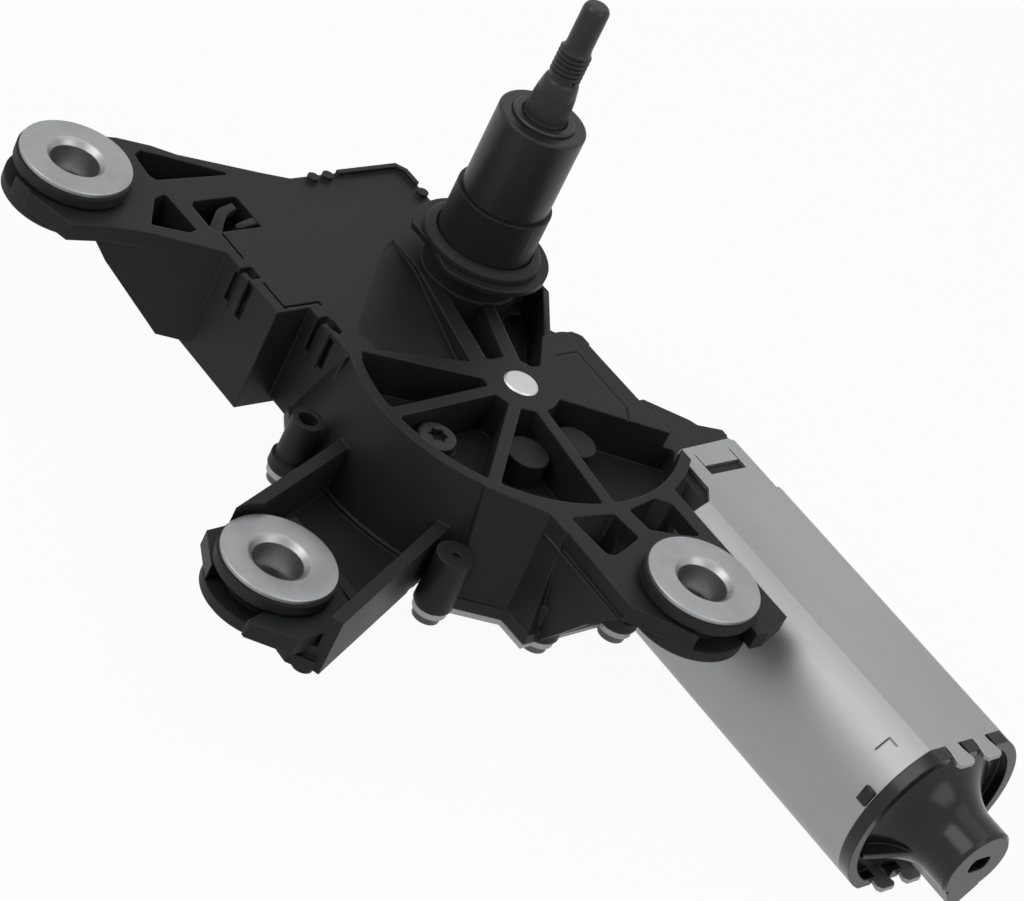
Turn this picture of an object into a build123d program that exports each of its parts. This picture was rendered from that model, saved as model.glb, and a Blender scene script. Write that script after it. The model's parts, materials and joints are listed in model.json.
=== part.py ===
from build123d import *
import math
import os

os.makedirs("parts", exist_ok=True)

# Rear-window wiper motor. Millimetres, +Z up along the output spindle.
# The origin is on the spindle's axis, level with the top of the housing deck.
# +X runs along the motor's axis from the gears to the end cap.

# Output spindle and its boss
SPINDLE_R = 5.45
SPINDLE_LOW_R = 4.5
SPINDLE_TIP_Z = 79.0
SPINDLE_END_Z = -35.2
TAPER_TOP_R = 4.5
TAPER_BASE_Z = 48.6
TAPER_TOP_Z = 57.4
THREAD_R = 4.0
THREAD_CORE_R = 3.45
THREAD_TOP_Z = 66.8
THREAD_PITCH = 1.25
TIP_R = 3.25
BOSS_R = 12.0
BOSS_TOP_Z = 23.0
SLEEVE_R = 11.0
SLEEVE_TOP_Z = 46.4
BUSH_R = 7.8
BUSH_TOP_Z = 47.3
BUSH_BOTTOM_Z = -17.5
BUSH_BORE_R = 5.5
RUNNING_GAP = 0.05

# Collar that seals against the body panel
COLLAR_WALL_R = 15.2
COLLAR_FLANGE_R = 17.4
COLLAR_FLANGE_Z = 6.5
COLLAR_SEAT_Z = 8.0
SEAL_INNER_R = 12.1
SEAL_OUTER_R = 14.9
SEAL_TOP_Z = 10.6

# Gear case round the fixed wheel pin
PIN_X = 38.5
PIN_Y = -13.1
PIN_R = 4.47
CASE_TOP_R = 43.5
CASE_FOOT_R = 48.4
CASE_HEIGHT = 27.4
RIM_Z = -CASE_HEIGHT
RING_INNER_R = 40.7
HUB_R = 9.6
RIB_HALF = 1.5
CELL_DEPTH = 11.0
FLOOR_UNDER_Z = -14.0
CASE_CAVITY_R = 44.4
HUB_LOW_R = 8.0
SPINDLE_CASE_R = 17.0
WALL = 3.0

# Left box with the circuit board
BOX_LEFT_X = -38.8
BOX_RIGHT_X = 4.5
BOX_FRONT_Y = -62.6
BOX_STEP_Y = -49.3
BOX_BACK_Y = 6.9
DECK_THICK = 3.2
GROOVE_WIDTH = 0.8
GROOVE_DEPTH = 1.0

# Rubber-mounted ears: centre, flange height and the way the slot opens
EAR_THICK = 4.4
EAR_R = 15.0
FLANGE_R = 13.65
FLANGE_THICK = 1.3
LIP_R = 14.1
LIP_THICK = 3.3
NECK_R = 9.5
LOWER_LIP_R = 14.5
STEEL_R = 6.2
BOLT_R = 4.4
DISH_R = 8.6
DISH_DEPTH = 3.0
EAR_LEFT = (-49.4, -86.4, 4.6, -125.0)
EAR_FRONT = (62.7, -96.1, -15.0, -78.0)
EAR_RIGHT = (109.3, -15.3, 4.6, -6.0)
EARS = (EAR_LEFT, EAR_FRONT, EAR_RIGHT)

# Arm that carries the front ear
ARM_TOP_Z = -13.0
ARM_FLOOR_Z = -25.5
ARM_BOTTOM_Z = -28.4

# Motor: a steel tube with flat top and bottom
MOTOR_Y = 25.8
MOTOR_Z = -24.0
TUBE_R = 24.1
TUBE_WALL = 1.2
TUBE_HALF_HEIGHT = 21.0
TUBE_START_X = 82.0
TUBE_END_X = 164.0
TONGUE_START_X = 65.5
FINGER_Y = (MOTOR_Y - 4.6, MOTOR_Y + 4.6)

# Worm and wheel
WHEEL_TEETH = 60
WHEEL_PITCH_R = 34.0
WORM_PITCH_R = MOTOR_Y - PIN_Y - WHEEL_PITCH_R
TOOTH_PITCH = 2 * math.pi * WHEEL_PITCH_R / WHEEL_TEETH
TOOTH_ADDENDUM = 1.0
WHEEL_TOP_Z = -19.5
WHEEL_BOTTOM_Z = -27.6
WHEEL_HUB_Z = -28.3

# Linkage between the wheel and the spindle
PINION_R = 7.0
PINION_TEETH = 14
SECTOR_R = 13.0
LINK_LENGTH = PINION_R + SECTOR_R
ROD_TOP_Z = -30.6
ROD_BOTTOM_Z = -33.0
LINK_TOP_Z = -33.3
LINK_BOTTOM_Z = -34.8
CRANK_RADIUS = 8.0
JOINT_X = -6.42
JOINT_Y = -18.94
EYE_X = 39.52
EYE_Y = -21.03

# Steel back cover, its gasket and screws
SHEET = 1.5
PAN_Z = -38.0
GASKET = 0.6
SCREW_SHANK_R = 1.6
SCREW_HEAD_R = 3.4

# Screw and posts in the cells
FLOOR_SCREW_X = 46.9
FLOOR_SCREW_Y = -44.0
FLOOR_SCREW_SEAT_Z = -5.4
FLOOR_SCREW_R = 2.0
POSTS = [(56.0, -22.9, 5.4), (55.8, -7.4, 5.2)]
POST_TOP_Z = -4.0

# Small forms on the deck and the bosses
WALL_THIN = 1.5
BOSS_CUP_DEPTH = 4.0
DIMPLE_R = 1.0
DECK_RIM_HEIGHT = 1.1
LINE_DEPTH = 0.35
CORNER_RIM = [(-38.8, -14.0), (-38.8, 4.9), (-36.2, 6.9), (-31.0, 6.9), (-31.0, 5.6), (-35.6, 5.6), (-37.5, 4.2), (-37.5, -14.0)]
DECK_BUMPS = [(-37.5, -22.2), (-37.5, -17.6), (-27.6, 5.6)]
PLATFORM_LINE = [
    (31.5, 3.2), (31.5, 10.6), (52.0, 10.6), (66.6, 0.6), (66.0, 0.3), (51.8, 10.0), (32.1, 10.0), (32.1, 3.2),
]


def polar(centre_x, centre_y, radius, degrees):
    """Point at a radius and an angle from a centre."""
    angle = math.radians(degrees)
    return (centre_x + radius * math.cos(angle), centre_y + radius * math.sin(angle))


def tube_section(radius, half_height):
    """Outline of the motor tube: a circle with a flat top and bottom."""
    with BuildSketch() as section:
        with Locations((MOTOR_Y, MOTOR_Z)):
            Circle(radius)
            Rectangle(3 * radius, 2 * half_height, mode=Mode.INTERSECT)
    return section.sketch


# Outlines seen from above
DECK_OUTLINE = [
    (BOX_LEFT_X, BOX_BACK_Y), (BOX_LEFT_X, -28.1), (-42.0, -35.1), (-51.5, -54.1), (-55.5, -59.1),
    (-59.5, -66.6), (-64.4, -84.0), (-44.5, -101.4), (-32.0, -97.2), (-30.0, -88.1), (-27.5, -81.1),
    (-23.5, -73.1), (-19.5, -67.1), (-16.8, BOX_FRONT_Y), (BOX_RIGHT_X, BOX_FRONT_Y), (BOX_RIGHT_X, BOX_STEP_Y),
    (16.0, BOX_STEP_Y), (22.0, -30.0), (22.0, 4.0), (-5.0, BOX_BACK_Y),
]
BOX_OUTLINE = [
    (BOX_LEFT_X, BOX_BACK_Y), (BOX_LEFT_X, -45.0), (-30.0, BOX_FRONT_Y), (BOX_RIGHT_X, BOX_FRONT_Y),
    (BOX_RIGHT_X, BOX_STEP_Y), (16.0, BOX_STEP_Y), (22.0, -30.0), (22.0, 4.0), (-5.0, BOX_BACK_Y),
]
BOX_CAVITY = [
    (-36.0, 4.2), (-36.0, -44.3), (-28.4, -59.8), (1.8, -59.8), (1.8, -46.5), (8.0, -46.5), (8.0, 4.2),
]
BOX_CAVITY_TOP_Z = -6.5
CORNER_TOP = [(58.5, -43.1), (67.0, -46.6), (78.5, -35.6), (84.5, -35.6), (84.5, 0.8), (58.5, 0.8)]
CORNER_FOOT = [(58.5, -43.1), (77.0, -50.9), (83.5, -40.5), (91.7, -40.2), (90.5, 0.8), (58.5, 0.8)]
PLATFORM = [(25.0, 4.0), (25.0, 15.4), (49.5, 15.9), (62.5, 16.4), (66.5, 14.9), (70.0, 2.0), (38.5, -6.0)]
SHOULDER = [(46.5, 12.0), (46.5, 22.9), (55.5, 30.9), (57.5, 31.9), (60.5, 37.9), (62.5, 37.9), (62.5, 12.0)]
RIGHT_EAR_PLATE = [
    (76.0, -33.6), (83.5, -35.2), (108.5, -35.6), (118.0, -27.0), (124.3, -14.0), (124.5, -5.1), (121.5, 3.4),
    (78.0, 3.4),
]
LEFT_WALL_LINE = ((34.5, -55.6), (48.8, -96.1))
RIGHT_WALL_LINE = ((64.1, -49.6), (82.2, -91.0))
ARM_FLOOR = [(32.6, -50.0), (47.4, -92.0), (50.0, -100.0), (80.5, -101.5), (85.0, -97.6), (64.5, -48.0)]
SCREW_BOSSES = [(26.5, -63.1), (74.0, -54.1), (-37.0, -54.0), (-34.0, 9.6), (7.5, 39.0), (88.6, -32.5), (91.0, -9.5)]
BOSS_SLIM_R = 3.9
SHORT_BOSS_HEIGHT = 9.4
BOSS_R_SCREW = 4.7
BOX_LIP = 1.8
RIB_ANGLES = [53.7, -6.5, -47.4, -87.0, -119.0]
UPPER_CELL = [(34.7, -4.4), (31.8, -8.1), (10.0, -0.4), (11.0, 11.6), (24.8, 3.4)]
MIDDLE_CELL = [(29.5, -11.6), (29.5, -16.8), (0.0, -10.6), (8.0, -3.4)]
DISH_OUTLINE = [(29.3, -21.8), (21.3, -44.0), (14.5, -46.1), (-9.5, -21.1), (-13.5, -14.0), (-3.5, -13.8)]
DISH_FALL_DEGREES = 9.0


def foot_outline(inset, boss_r):
    """Outline of the housing's foot, drawn smaller by an inset on every side."""
    outline = Pos(PIN_X, PIN_Y) * Circle(CASE_FOOT_R - inset)
    for corners in (BOX_OUTLINE, CORNER_FOOT):
        face = Polygon(*corners, align=None)
        outline += offset(face, amount=-inset, kind=Kind.INTERSECTION) if inset else face
    outline += Pos(37.5, 22.0) * Rectangle(59.0 - 2 * inset, 31.2 - 2 * inset)
    outline += Pos(63.0, 6.0) * Rectangle(26.2 - 2 * inset, 22.6 - 2 * inset)
    outline += Circle(SPINDLE_CASE_R - inset)
    for x, y in SCREW_BOSSES:
        outline += Pos(x, y) * Circle(boss_r)
    return outline


def cover_outline(inset, boss_r):
    """Foot outline kept clear of the motor block and of the shaft's front bearing."""
    outline = foot_outline(inset, boss_r) + Pos(71.0, -50.6) * Circle(3.4)
    outline -= Pos(76.1 - inset, 1.4 - inset) * Rectangle(40.0, 60.0, align=(Align.MIN, Align.MIN))
    outline -= Pos(66.0 - inset, 17.3 - inset) * Rectangle(40.0, 60.0, align=(Align.MIN, Align.MIN))
    return outline


# Thin lip of the left box that hides the edge of the cover
BOX_LIP_FACE = Polygon(*BOX_OUTLINE, align=None)
BOX_LIP_FACE -= offset(BOX_LIP_FACE, amount=-0.6, kind=Kind.INTERSECTION)
# Deep part of the back cover, under the worm and the linkage
PAN_FACE = Polygon((-32.0, 1.0), (-32.0, -40.0), (44.0, -40.0), (62.0, -14.0), (64.5, 15.0), (64.5, 35.0),
                   (10.6, 35.0), (5.0, 15.0), (-12.0, 15.0), (-24.0, 1.0), align=None)
PAN_HOLLOW = offset(PAN_FACE, amount=-SHEET, kind=Kind.INTERSECTION)
# Foot of the housing, shared by the rim, the gasket and the back cover. The faces are made here, because
# a shape that is made inside a sketch is added to that sketch as well.
FOOT_FACE = foot_outline(0, BOSS_R_SCREW)
COVER_FACE = cover_outline(0.7, BOSS_R_SCREW - 0.5)
GASKET_FACE = cover_outline(0.8, BOSS_R_SCREW - 0.8)
GASKET_HOLLOW = cover_outline(2.6, BOSS_R_SCREW - 0.8)

# Volume taken out of the deck between the ribs next to the left box
with BuildPart() as dish_block:
    with BuildSketch(Plane.XY.offset(-CELL_DEPTH)):
        with BuildLine():
            Polyline(*DISH_OUTLINE, close=True)
        make_face()
    extrude(amount=2 * CELL_DEPTH)
dish_slope = math.radians(DISH_FALL_DEGREES)
dish_normal = (0.72 * math.sin(dish_slope), 0.69 * math.sin(dish_slope), math.cos(dish_slope))
DISH_CUT = split(dish_block.part, bisect_by=Plane(origin=(-9.5, -21.1, 0), z_dir=dish_normal), keep=Keep.TOP)

with BuildPart() as gear_housing:
    # Round case, wider at its foot
    with Locations((PIN_X, PIN_Y, RIM_Z)):
        Cone(CASE_FOOT_R, CASE_TOP_R, CASE_HEIGHT, align=(Align.CENTER, Align.CENTER, Align.MIN))
    with BuildSketch(Plane.XY):
        with BuildLine():
            Polyline(*CORNER_TOP, close=True)
        make_face()
    with BuildSketch(Plane.XY.offset(RIM_Z)):
        with BuildLine():
            Polyline(*CORNER_FOOT, close=True)
        make_face()
    loft(ruled=True)
    # The case is lower behind the platform and behind the deck
    with Locations((60.0, 15.6, 0)):
        Box(60.0, 30.0, 10.5, align=(Align.CENTER, Align.MIN, Align.MAX), mode=Mode.SUBTRACT)
    with Locations((25.0, 4.0, 0)):
        Box(40.0, 40.0, 10.5, align=(Align.MAX, Align.MIN, Align.MAX), mode=Mode.SUBTRACT)
    # Deck with the left ear, and the box under it
    with BuildSketch(Plane.XY.offset(-EAR_THICK)):
        with BuildLine():
            Polyline(*DECK_OUTLINE, close=True)
        make_face()
        with Locations((EAR_LEFT[0], EAR_LEFT[1])):
            Circle(EAR_R)
    extrude(amount=EAR_THICK)
    with BuildSketch(Plane.XY.offset(RIM_Z)):
        with BuildLine():
            Polyline(*BOX_OUTLINE, close=True)
        make_face()
    extrude(amount=CASE_HEIGHT)
    # Ear plate beside the motor
    with BuildSketch(Plane.XY.offset(-EAR_THICK)):
        with BuildLine():
            Polyline(*RIGHT_EAR_PLATE, close=True)
        make_face()
        with Locations((EAR_RIGHT[0], EAR_RIGHT[1])):
            Circle(EAR_R)
    extrude(amount=EAR_THICK)
    # Platform, worm tunnel and shoulder towards the motor
    with BuildSketch(Plane.XY.offset(-16.0)):
        with BuildLine():
            Polyline(*PLATFORM, close=True)
        make_face()
    extrude(amount=16.0)
    with BuildSketch(Plane.YZ.offset(13.0)):
        with Locations((MOTOR_Y, MOTOR_Z)):
            Circle(11.6)
        with Locations((MOTOR_Y, -20.7)):
            Rectangle(23.2, 13.4)
    extrude(amount=54.0)
    with BuildSketch(Plane.XY.offset(-20.0)):
        with BuildLine():
            Polyline(*SHOULDER, close=True)
        make_face()
    extrude(amount=15.7)
    with BuildSketch(Plane.YZ.offset(60.5)):
        add(tube_section(TUBE_R - TUBE_WALL - 0.1, TUBE_HALF_HEIGHT - TUBE_WALL - 0.1))
    extrude(amount=TUBE_START_X + 5.0 - 60.5)
    # Nothing of the gear side reaches below the rim but the two bearing blocks
    with Locations((76.5, MOTOR_Y, RIM_Z)):
        Box(80.0, 60.0, 30.0, align=(Align.MAX, Align.CENTER, Align.MAX), mode=Mode.SUBTRACT)
    for block_x, block_length in ((14.0, 9.6), (66.2, 11.8)):
        with Locations(Location((block_x, MOTOR_Y, MOTOR_Z), (0, 90, 0))):
            Cylinder(8.0, block_length, align=(Align.CENTER, Align.CENTER, Align.MIN))
    # Round casing of the spindle below the deck
    with Locations((0, 0, RIM_Z)):
        Cylinder(SPINDLE_CASE_R, CASE_HEIGHT - 8.0, align=(Align.CENTER, Align.CENTER, Align.MIN))
    # Rim along the foot and the screw bosses
    with BuildSketch(Plane.XY.offset(RIM_Z)):
        add(FOOT_FACE)
    extrude(amount=3.0)
    with BuildSketch(Plane.XY.offset(RIM_Z - BOX_LIP)):
        add(BOX_LIP_FACE)
        with Locations((PIN_X, PIN_Y)):
            Circle(CASE_FOOT_R + 1.0, mode=Mode.SUBTRACT)
        with Locations(*SCREW_BOSSES):
            Circle(BOSS_R_SCREW + 1.0, mode=Mode.SUBTRACT)
        with Locations((-30.0, -20.0)):
            Rectangle(200.0, 200.0, align=(Align.MIN, Align.MIN), mode=Mode.SUBTRACT)
    extrude(amount=BOX_LIP)
    with BuildSketch(Plane.XY.offset(RIM_Z)):
        with Locations(SCREW_BOSSES[0]):
            Circle(BOSS_SLIM_R)
        with Locations(*SCREW_BOSSES[1:5]):
            Circle(BOSS_R_SCREW)
    extrude(amount=CASE_HEIGHT + ARM_TOP_Z)
    with BuildSketch(Plane.XY.offset(RIM_Z)):
        with Locations(*SCREW_BOSSES[5:]):
            Circle(BOSS_R_SCREW)
    extrude(amount=SHORT_BOSS_HEIGHT)
    # Arm to the front ear: two walls, a floor and the ear plate
    for start, end in (LEFT_WALL_LINE, RIGHT_WALL_LINE):
        run = math.hypot(end[0] - start[0], end[1] - start[1])
        turn = math.degrees(math.atan2(end[1] - start[1], end[0] - start[0]))
        with BuildSketch(Plane.XY.offset(ARM_BOTTOM_Z)):
            with Locations(Location(((start[0] + end[0]) / 2, (start[1] + end[1]) / 2, 0), (0, 0, turn))):
                Rectangle(run + 12.0, WALL)
        extrude(amount=ARM_TOP_Z - ARM_BOTTOM_Z)
    with BuildSketch(Plane.XY.offset(ARM_BOTTOM_Z)):
        with BuildLine():
            Polyline(*ARM_FLOOR, close=True)
        make_face()
    extrude(amount=ARM_FLOOR_Z - ARM_BOTTOM_Z)
    with BuildSketch(Plane.XY.offset(RIM_Z - 2.0)):
        with Locations((PIN_X, PIN_Y)):
            Circle(CASE_FOOT_R + 0.4)
            Rectangle(120.0, 60.0, align=(Align.CENTER, Align.MAX), mode=Mode.INTERSECT)
        with Locations(SCREW_BOSSES[1]):
            Circle(6.0)
    extrude(amount=2.0, mode=Mode.SUBTRACT)
    with BuildSketch(Plane.XY.offset(EAR_FRONT[2] - 4.6 - EAR_THICK)):
        with BuildLine():
            Polyline((46.5, -88.0), (47.4, -104.0), (60.0, -111.0), (75.0, -111.0), (82.5, -103.0), (81.5, -84.0),
                     (50.0, -80.0), close=True)
        make_face()
    extrude(amount=EAR_THICK - 0.1)
    # Lug that points down at the outer corner of the ear
    with BuildSketch(Plane.XY.offset(ARM_BOTTOM_Z - 2.0)):
        with Locations((81.0, -96.0)):
            Circle(2.6)
    extrude(amount=8.0)
    with Locations((62.5, -81.0, ARM_BOTTOM_Z)):
        Box(28.0, WALL, 8.8, align=(Align.CENTER, Align.CENTER, Align.MIN))
    # Gusset webs under the left and the right ear
    with BuildSketch(Plane(origin=(-16.8, BOX_FRONT_Y, 0), x_dir=(-0.511, -0.860, 0), z_dir=(-0.860, 0.511, 0))):
        Polygon((0, 0), (0, RIM_Z), (8.0, RIM_Z), (26.0, -10.5), (31.0, -EAR_THICK), (31.0, 0), align=None)
    extrude(amount=WALL)
    with BuildSketch(Plane(origin=(80.0, -36.6, 0), x_dir=(1, 0, 0), z_dir=(0, -1, 0))):
        Polygon((0, -EAR_THICK), (0, RIM_Z), (11.7, RIM_Z), (21.0, -13.0), (28.0, -EAR_THICK), align=None)
    extrude(amount=-WALL)
    # Boss and collar round the spindle
    with Locations((0, 0, RIM_Z + 11.5)):
        Cylinder(BOSS_R, BOSS_TOP_Z - RIM_Z - 11.5, align=(Align.CENTER, Align.CENTER, Align.MIN))
    with Locations((0, 0, -EAR_THICK)):
        Cylinder(COLLAR_WALL_R, COLLAR_FLANGE_Z + EAR_THICK, align=(Align.CENTER, Align.CENTER, Align.MIN))
    with Locations((0, 0, COLLAR_FLANGE_Z)):
        Cylinder(COLLAR_FLANGE_R, COLLAR_SEAT_Z - COLLAR_FLANGE_Z, align=(Align.CENTER, Align.CENTER, Align.MIN))
    # Cells between the ribs of the round case
    for last, first in zip(RIB_ANGLES[:-1], RIB_ANGLES[1:]):
        with BuildSketch(Plane.XY.offset(-CELL_DEPTH)) as cell:
            with Locations((PIN_X, PIN_Y)):
                Circle(RING_INNER_R)
            corner_reach = RIB_HALF / math.sin(math.radians((last - first) / 2))
            corner = polar(PIN_X, PIN_Y, corner_reach, (last + first) / 2)
            with BuildLine():
                Polyline(corner, polar(corner[0], corner[1], 70, first), polar(corner[0], corner[1], 110, (last + first) / 2),
                         polar(corner[0], corner[1], 70, last), close=True)
            make_face(mode=Mode.INTERSECT)
            with Locations((PIN_X, PIN_Y)):
                Circle(HUB_R, mode=Mode.SUBTRACT)
            fillet(cell.vertices(), 1.0)
        extrude(amount=CELL_DEPTH, mode=Mode.SUBTRACT)
    for outline in (UPPER_CELL, MIDDLE_CELL):
        with BuildSketch(Plane.XY.offset(-CELL_DEPTH)) as cell:
            with BuildLine():
                Polyline(*outline, close=True)
            make_face()
            fillet(cell.vertices(), 0.9)
            Circle(COLLAR_WALL_R + 0.6, mode=Mode.SUBTRACT)
        extrude(amount=CELL_DEPTH, mode=Mode.SUBTRACT)
    add(DISH_CUT, mode=Mode.SUBTRACT)
    # Two pockets and a sloping notch between the case and the right ear
    for outline in (
        [(80.2, -4.0), (83.0, -0.6), (94.0, -0.6), (92.6, -5.0), (89.0, -13.0), (82.0, -14.0)],
        [(82.3, -18.6), (90.5, -17.6), (92.5, -23.1), (94.0, -28.0), (93.0, -30.0), (80.6, -31.5)],
    ):
        with BuildSketch(Plane.XY.offset(-CELL_DEPTH)) as cell:
            with BuildLine():
                Polyline(*outline, close=True)
            make_face()
            fillet(cell.vertices(), 1.0)
        extrude(amount=CELL_DEPTH, mode=Mode.SUBTRACT)
    # Windows and clip slots in the left arm
    for outline, low in (
        ([(-43.4, -44.4), (-42.5, -45.2), (-43.5, -65.4), (-45.5, -66.4), (-53.0, -65.6), (-54.4, -63.0), (-52.4, -59.4)], -9.0),
        ([(-35.0, -47.4), (-35.0, -60.2), (-33.6, -61.6), (-25.5, -61.6), (-23.6, -59.5), (-23.6, -47.4)], -9.0),
        ([(-38.6, -66.1), (-25.4, -65.6), (-24.7, -68.2), (-29.0, -76.6), (-37.4, -70.0)], -9.0),
        ([(-11.2, -59.2), (-6.9, -59.2), (-6.9, -64.0), (-11.2, -64.0)], -7.0),
        ([(8.7, -48.9), (13.0, -48.9), (13.0, -54.0), (8.7, -54.0)], -9.0),
    ):
        with BuildSketch(Plane.XY.offset(low)) as window:
            with BuildLine():
                Polyline(*outline, close=True)
            make_face()
            fillet(window.vertices(), 0.6)
        extrude(amount=-low, mode=Mode.SUBTRACT)
    # Parting groove along the deck's front edge
    with BuildSketch(Plane.XY.offset(-GROOVE_DEPTH)):
        with Locations((-18.6, -59.7), (-0.9, -59.7)):
            Rectangle(9.4, GROOVE_WIDTH)
        with Locations((3.2, -54.6)):
            Rectangle(GROOVE_WIDTH, 11.0)
        with Locations((5.2, -49.4)):
            Rectangle(4.8, GROOVE_WIDTH)
    extrude(amount=GROOVE_DEPTH, mode=Mode.SUBTRACT)
    # Inner spaces: gear chamber, board chamber and worm tunnel
    with BuildSketch(Plane.XY.offset(RIM_Z)):
        with Locations((PIN_X, PIN_Y)):
            Circle(RING_INNER_R - 0.9)
        with Locations((66.5, 1.0)):
            Rectangle(40.0, 40.0, align=(Align.MIN, Align.MIN), mode=Mode.SUBTRACT)
        with Locations((PIN_X, PIN_Y)):
            Circle(36.5)
    extrude(amount=FLOOR_UNDER_Z - RIM_Z, mode=Mode.SUBTRACT)
    with BuildSketch(Plane.XY.offset(RIM_Z)):
        with BuildLine():
            Polyline(*BOX_CAVITY, close=True)
        make_face()
        Circle(SPINDLE_CASE_R, mode=Mode.SUBTRACT)
    extrude(amount=BOX_CAVITY_TOP_Z - RIM_Z, mode=Mode.SUBTRACT)
    with BuildSketch(Plane.XY.offset(RIM_Z)):
        with BuildLine():
            Polyline((-22.0, -46.0), (30.0, -46.0), (40.0, 2.0), (-22.0, 2.0), close=True)
        make_face()
    extrude(amount=-18.5 - RIM_Z, mode=Mode.SUBTRACT)
    with Locations((0, 0, RIM_Z)):
        Cylinder(BOSS_R + 1.0, -18.5 - RIM_Z, align=(Align.CENTER, Align.CENTER, Align.MIN), mode=Mode.SUBTRACT)
    with BuildSketch(Plane.YZ.offset(24.5)):
        with Locations((MOTOR_Y, MOTOR_Z)):
            Circle(7.6)
        with Locations((MOTOR_Y, RIM_Z)):
            Rectangle(15.2, 6.8)
    extrude(amount=30.5, mode=Mode.SUBTRACT)
    # Two rounded posts in the cells nearest the motor
    for post_x, post_y, post_r in POSTS:
        with Locations((post_x, post_y, FLOOR_UNDER_Z)):
            Cylinder(post_r, POST_TOP_Z - FLOOR_UNDER_Z, align=(Align.CENTER, Align.CENTER, Align.MIN))
    # Hub for the wheel pin, under the floor and through it
    with Locations((PIN_X, PIN_Y, WHEEL_TOP_Z + 0.5)):
        Cylinder(HUB_LOW_R, -CELL_DEPTH - WHEEL_TOP_Z - 0.5, align=(Align.CENTER, Align.CENTER, Align.MIN))
    with Locations((PIN_X, PIN_Y, WHEEL_TOP_Z)):
        Cylinder(PIN_R, -WHEEL_TOP_Z, align=(Align.CENTER, Align.CENTER, Align.MIN), mode=Mode.SUBTRACT)
    # Bore for the bearing tube, and the motor shaft's bores
    with Locations((0, 0, -18.5)):
        Cylinder(BUSH_R, BOSS_TOP_Z + 18.5, align=(Align.CENTER, Align.CENTER, Align.MIN), mode=Mode.SUBTRACT)
    with Locations(Location((16.0, MOTOR_Y, MOTOR_Z), (0, 90, 0))):
        Cylinder(3.4, 80.0, align=(Align.CENTER, Align.CENTER, Align.MIN), mode=Mode.SUBTRACT)
    with Locations((23.6, MOTOR_Y, MOTOR_Z)):
        Box(42.6, 6.8, 8.0, align=(Align.MIN, Align.CENTER, Align.MAX), mode=Mode.SUBTRACT)
    with Locations(Location((18.5, MOTOR_Y, MOTOR_Z), (0, 90, 0)), Location((70.0, MOTOR_Y, MOTOR_Z), (0, 90, 0))):
        Cylinder(5.0, 5.0, align=(Align.CENTER, Align.CENTER, Align.MIN), mode=Mode.SUBTRACT)
    with BuildSketch(Plane.YZ.offset(80.0)):
        add(tube_section(18.6, 15.6))
    extrude(amount=10.0, mode=Mode.SUBTRACT)
    # Room for the wall of the motor tube
    with BuildSketch(Plane.YZ.offset(TUBE_START_X - 0.1)):
        add(tube_section(TUBE_R + 0.3, TUBE_HALF_HEIGHT + 0.3))
        add(tube_section(TUBE_R - TUBE_WALL - 0.1, TUBE_HALF_HEIGHT - TUBE_WALL - 0.1), mode=Mode.SUBTRACT)
    extrude(amount=8.0, mode=Mode.SUBTRACT)
    # Opening for the connector in the left wall, and the hole for the screw in the floor
    with Locations((BOX_LEFT_X, -13.0, -17.0)):
        Box(12.0, 24.0, 10.0, mode=Mode.SUBTRACT)
    with Locations((FLOOR_SCREW_X, FLOOR_SCREW_Y, FLOOR_UNDER_Z)):
        Cylinder(5.3, FLOOR_SCREW_SEAT_Z - FLOOR_UNDER_Z, align=(Align.CENTER, Align.CENTER, Align.MIN))
        Cylinder(FLOOR_SCREW_R, -FLOOR_UNDER_Z, align=(Align.CENTER, Align.CENTER, Align.MIN), mode=Mode.SUBTRACT)
    # Slots for the rubber grommets
    for centre_x, centre_y, flange_z, opening in EARS:
        with BuildSketch(Plane.XY.offset(flange_z - 12.3 - 0.1)):
            with Locations(Location((centre_x, centre_y, 0), (0, 0, opening))):
                Circle(NECK_R)
                Rectangle(30.0, 2 * NECK_R - 3.0, align=(Align.MIN, Align.CENTER))
        extrude(amount=14.0, mode=Mode.SUBTRACT)
        with Locations((centre_x, centre_y, flange_z - 9.02)):
            Cylinder(LOWER_LIP_R + 0.6, 20.0, align=(Align.CENTER, Align.CENTER, Align.MAX), mode=Mode.SUBTRACT)
        with Locations((centre_x, centre_y, flange_z - 4.7)):
            Cylinder(LIP_R + 0.6, 20.0, align=(Align.CENTER, Align.CENTER, Align.MIN), mode=Mode.SUBTRACT)
    # The boss beside the left box is hollow at its top, the others have a dimple
    with Locations((SCREW_BOSSES[0][0], SCREW_BOSSES[0][1], ARM_TOP_Z)):
        Cylinder(BOSS_SLIM_R - WALL_THIN, BOSS_CUP_DEPTH, align=(Align.CENTER, Align.CENTER, Align.MAX), mode=Mode.SUBTRACT)
    with Locations(*[(x, y, ARM_TOP_Z) for x, y in SCREW_BOSSES[1:5]]):
        Cylinder(DIMPLE_R, DIMPLE_R, align=(Align.CENTER, Align.CENTER, Align.MAX), mode=Mode.SUBTRACT)
    # Raised rim and three bumps at the deck's back corner, and a small dome on the slope
    with BuildSketch(Plane.XY):
        with BuildLine():
            Polyline(*CORNER_RIM, close=True)
        make_face()
        with Locations(*DECK_BUMPS):
            Circle(1.5)
    extrude(amount=DECK_RIM_HEIGHT)
    with Locations((3.1, -23.3, -6.0)):
        Cylinder(1.2, 4.6, align=(Align.CENTER, Align.CENTER, Align.MIN))
    # Shallow line inside the platform's edge
    with BuildSketch(Plane.XY.offset(-LINE_DEPTH)):
        with BuildLine():
            Polyline(*PLATFORM_LINE, close=True)
        make_face()
    extrude(amount=LINE_DEPTH, mode=Mode.SUBTRACT)
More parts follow.
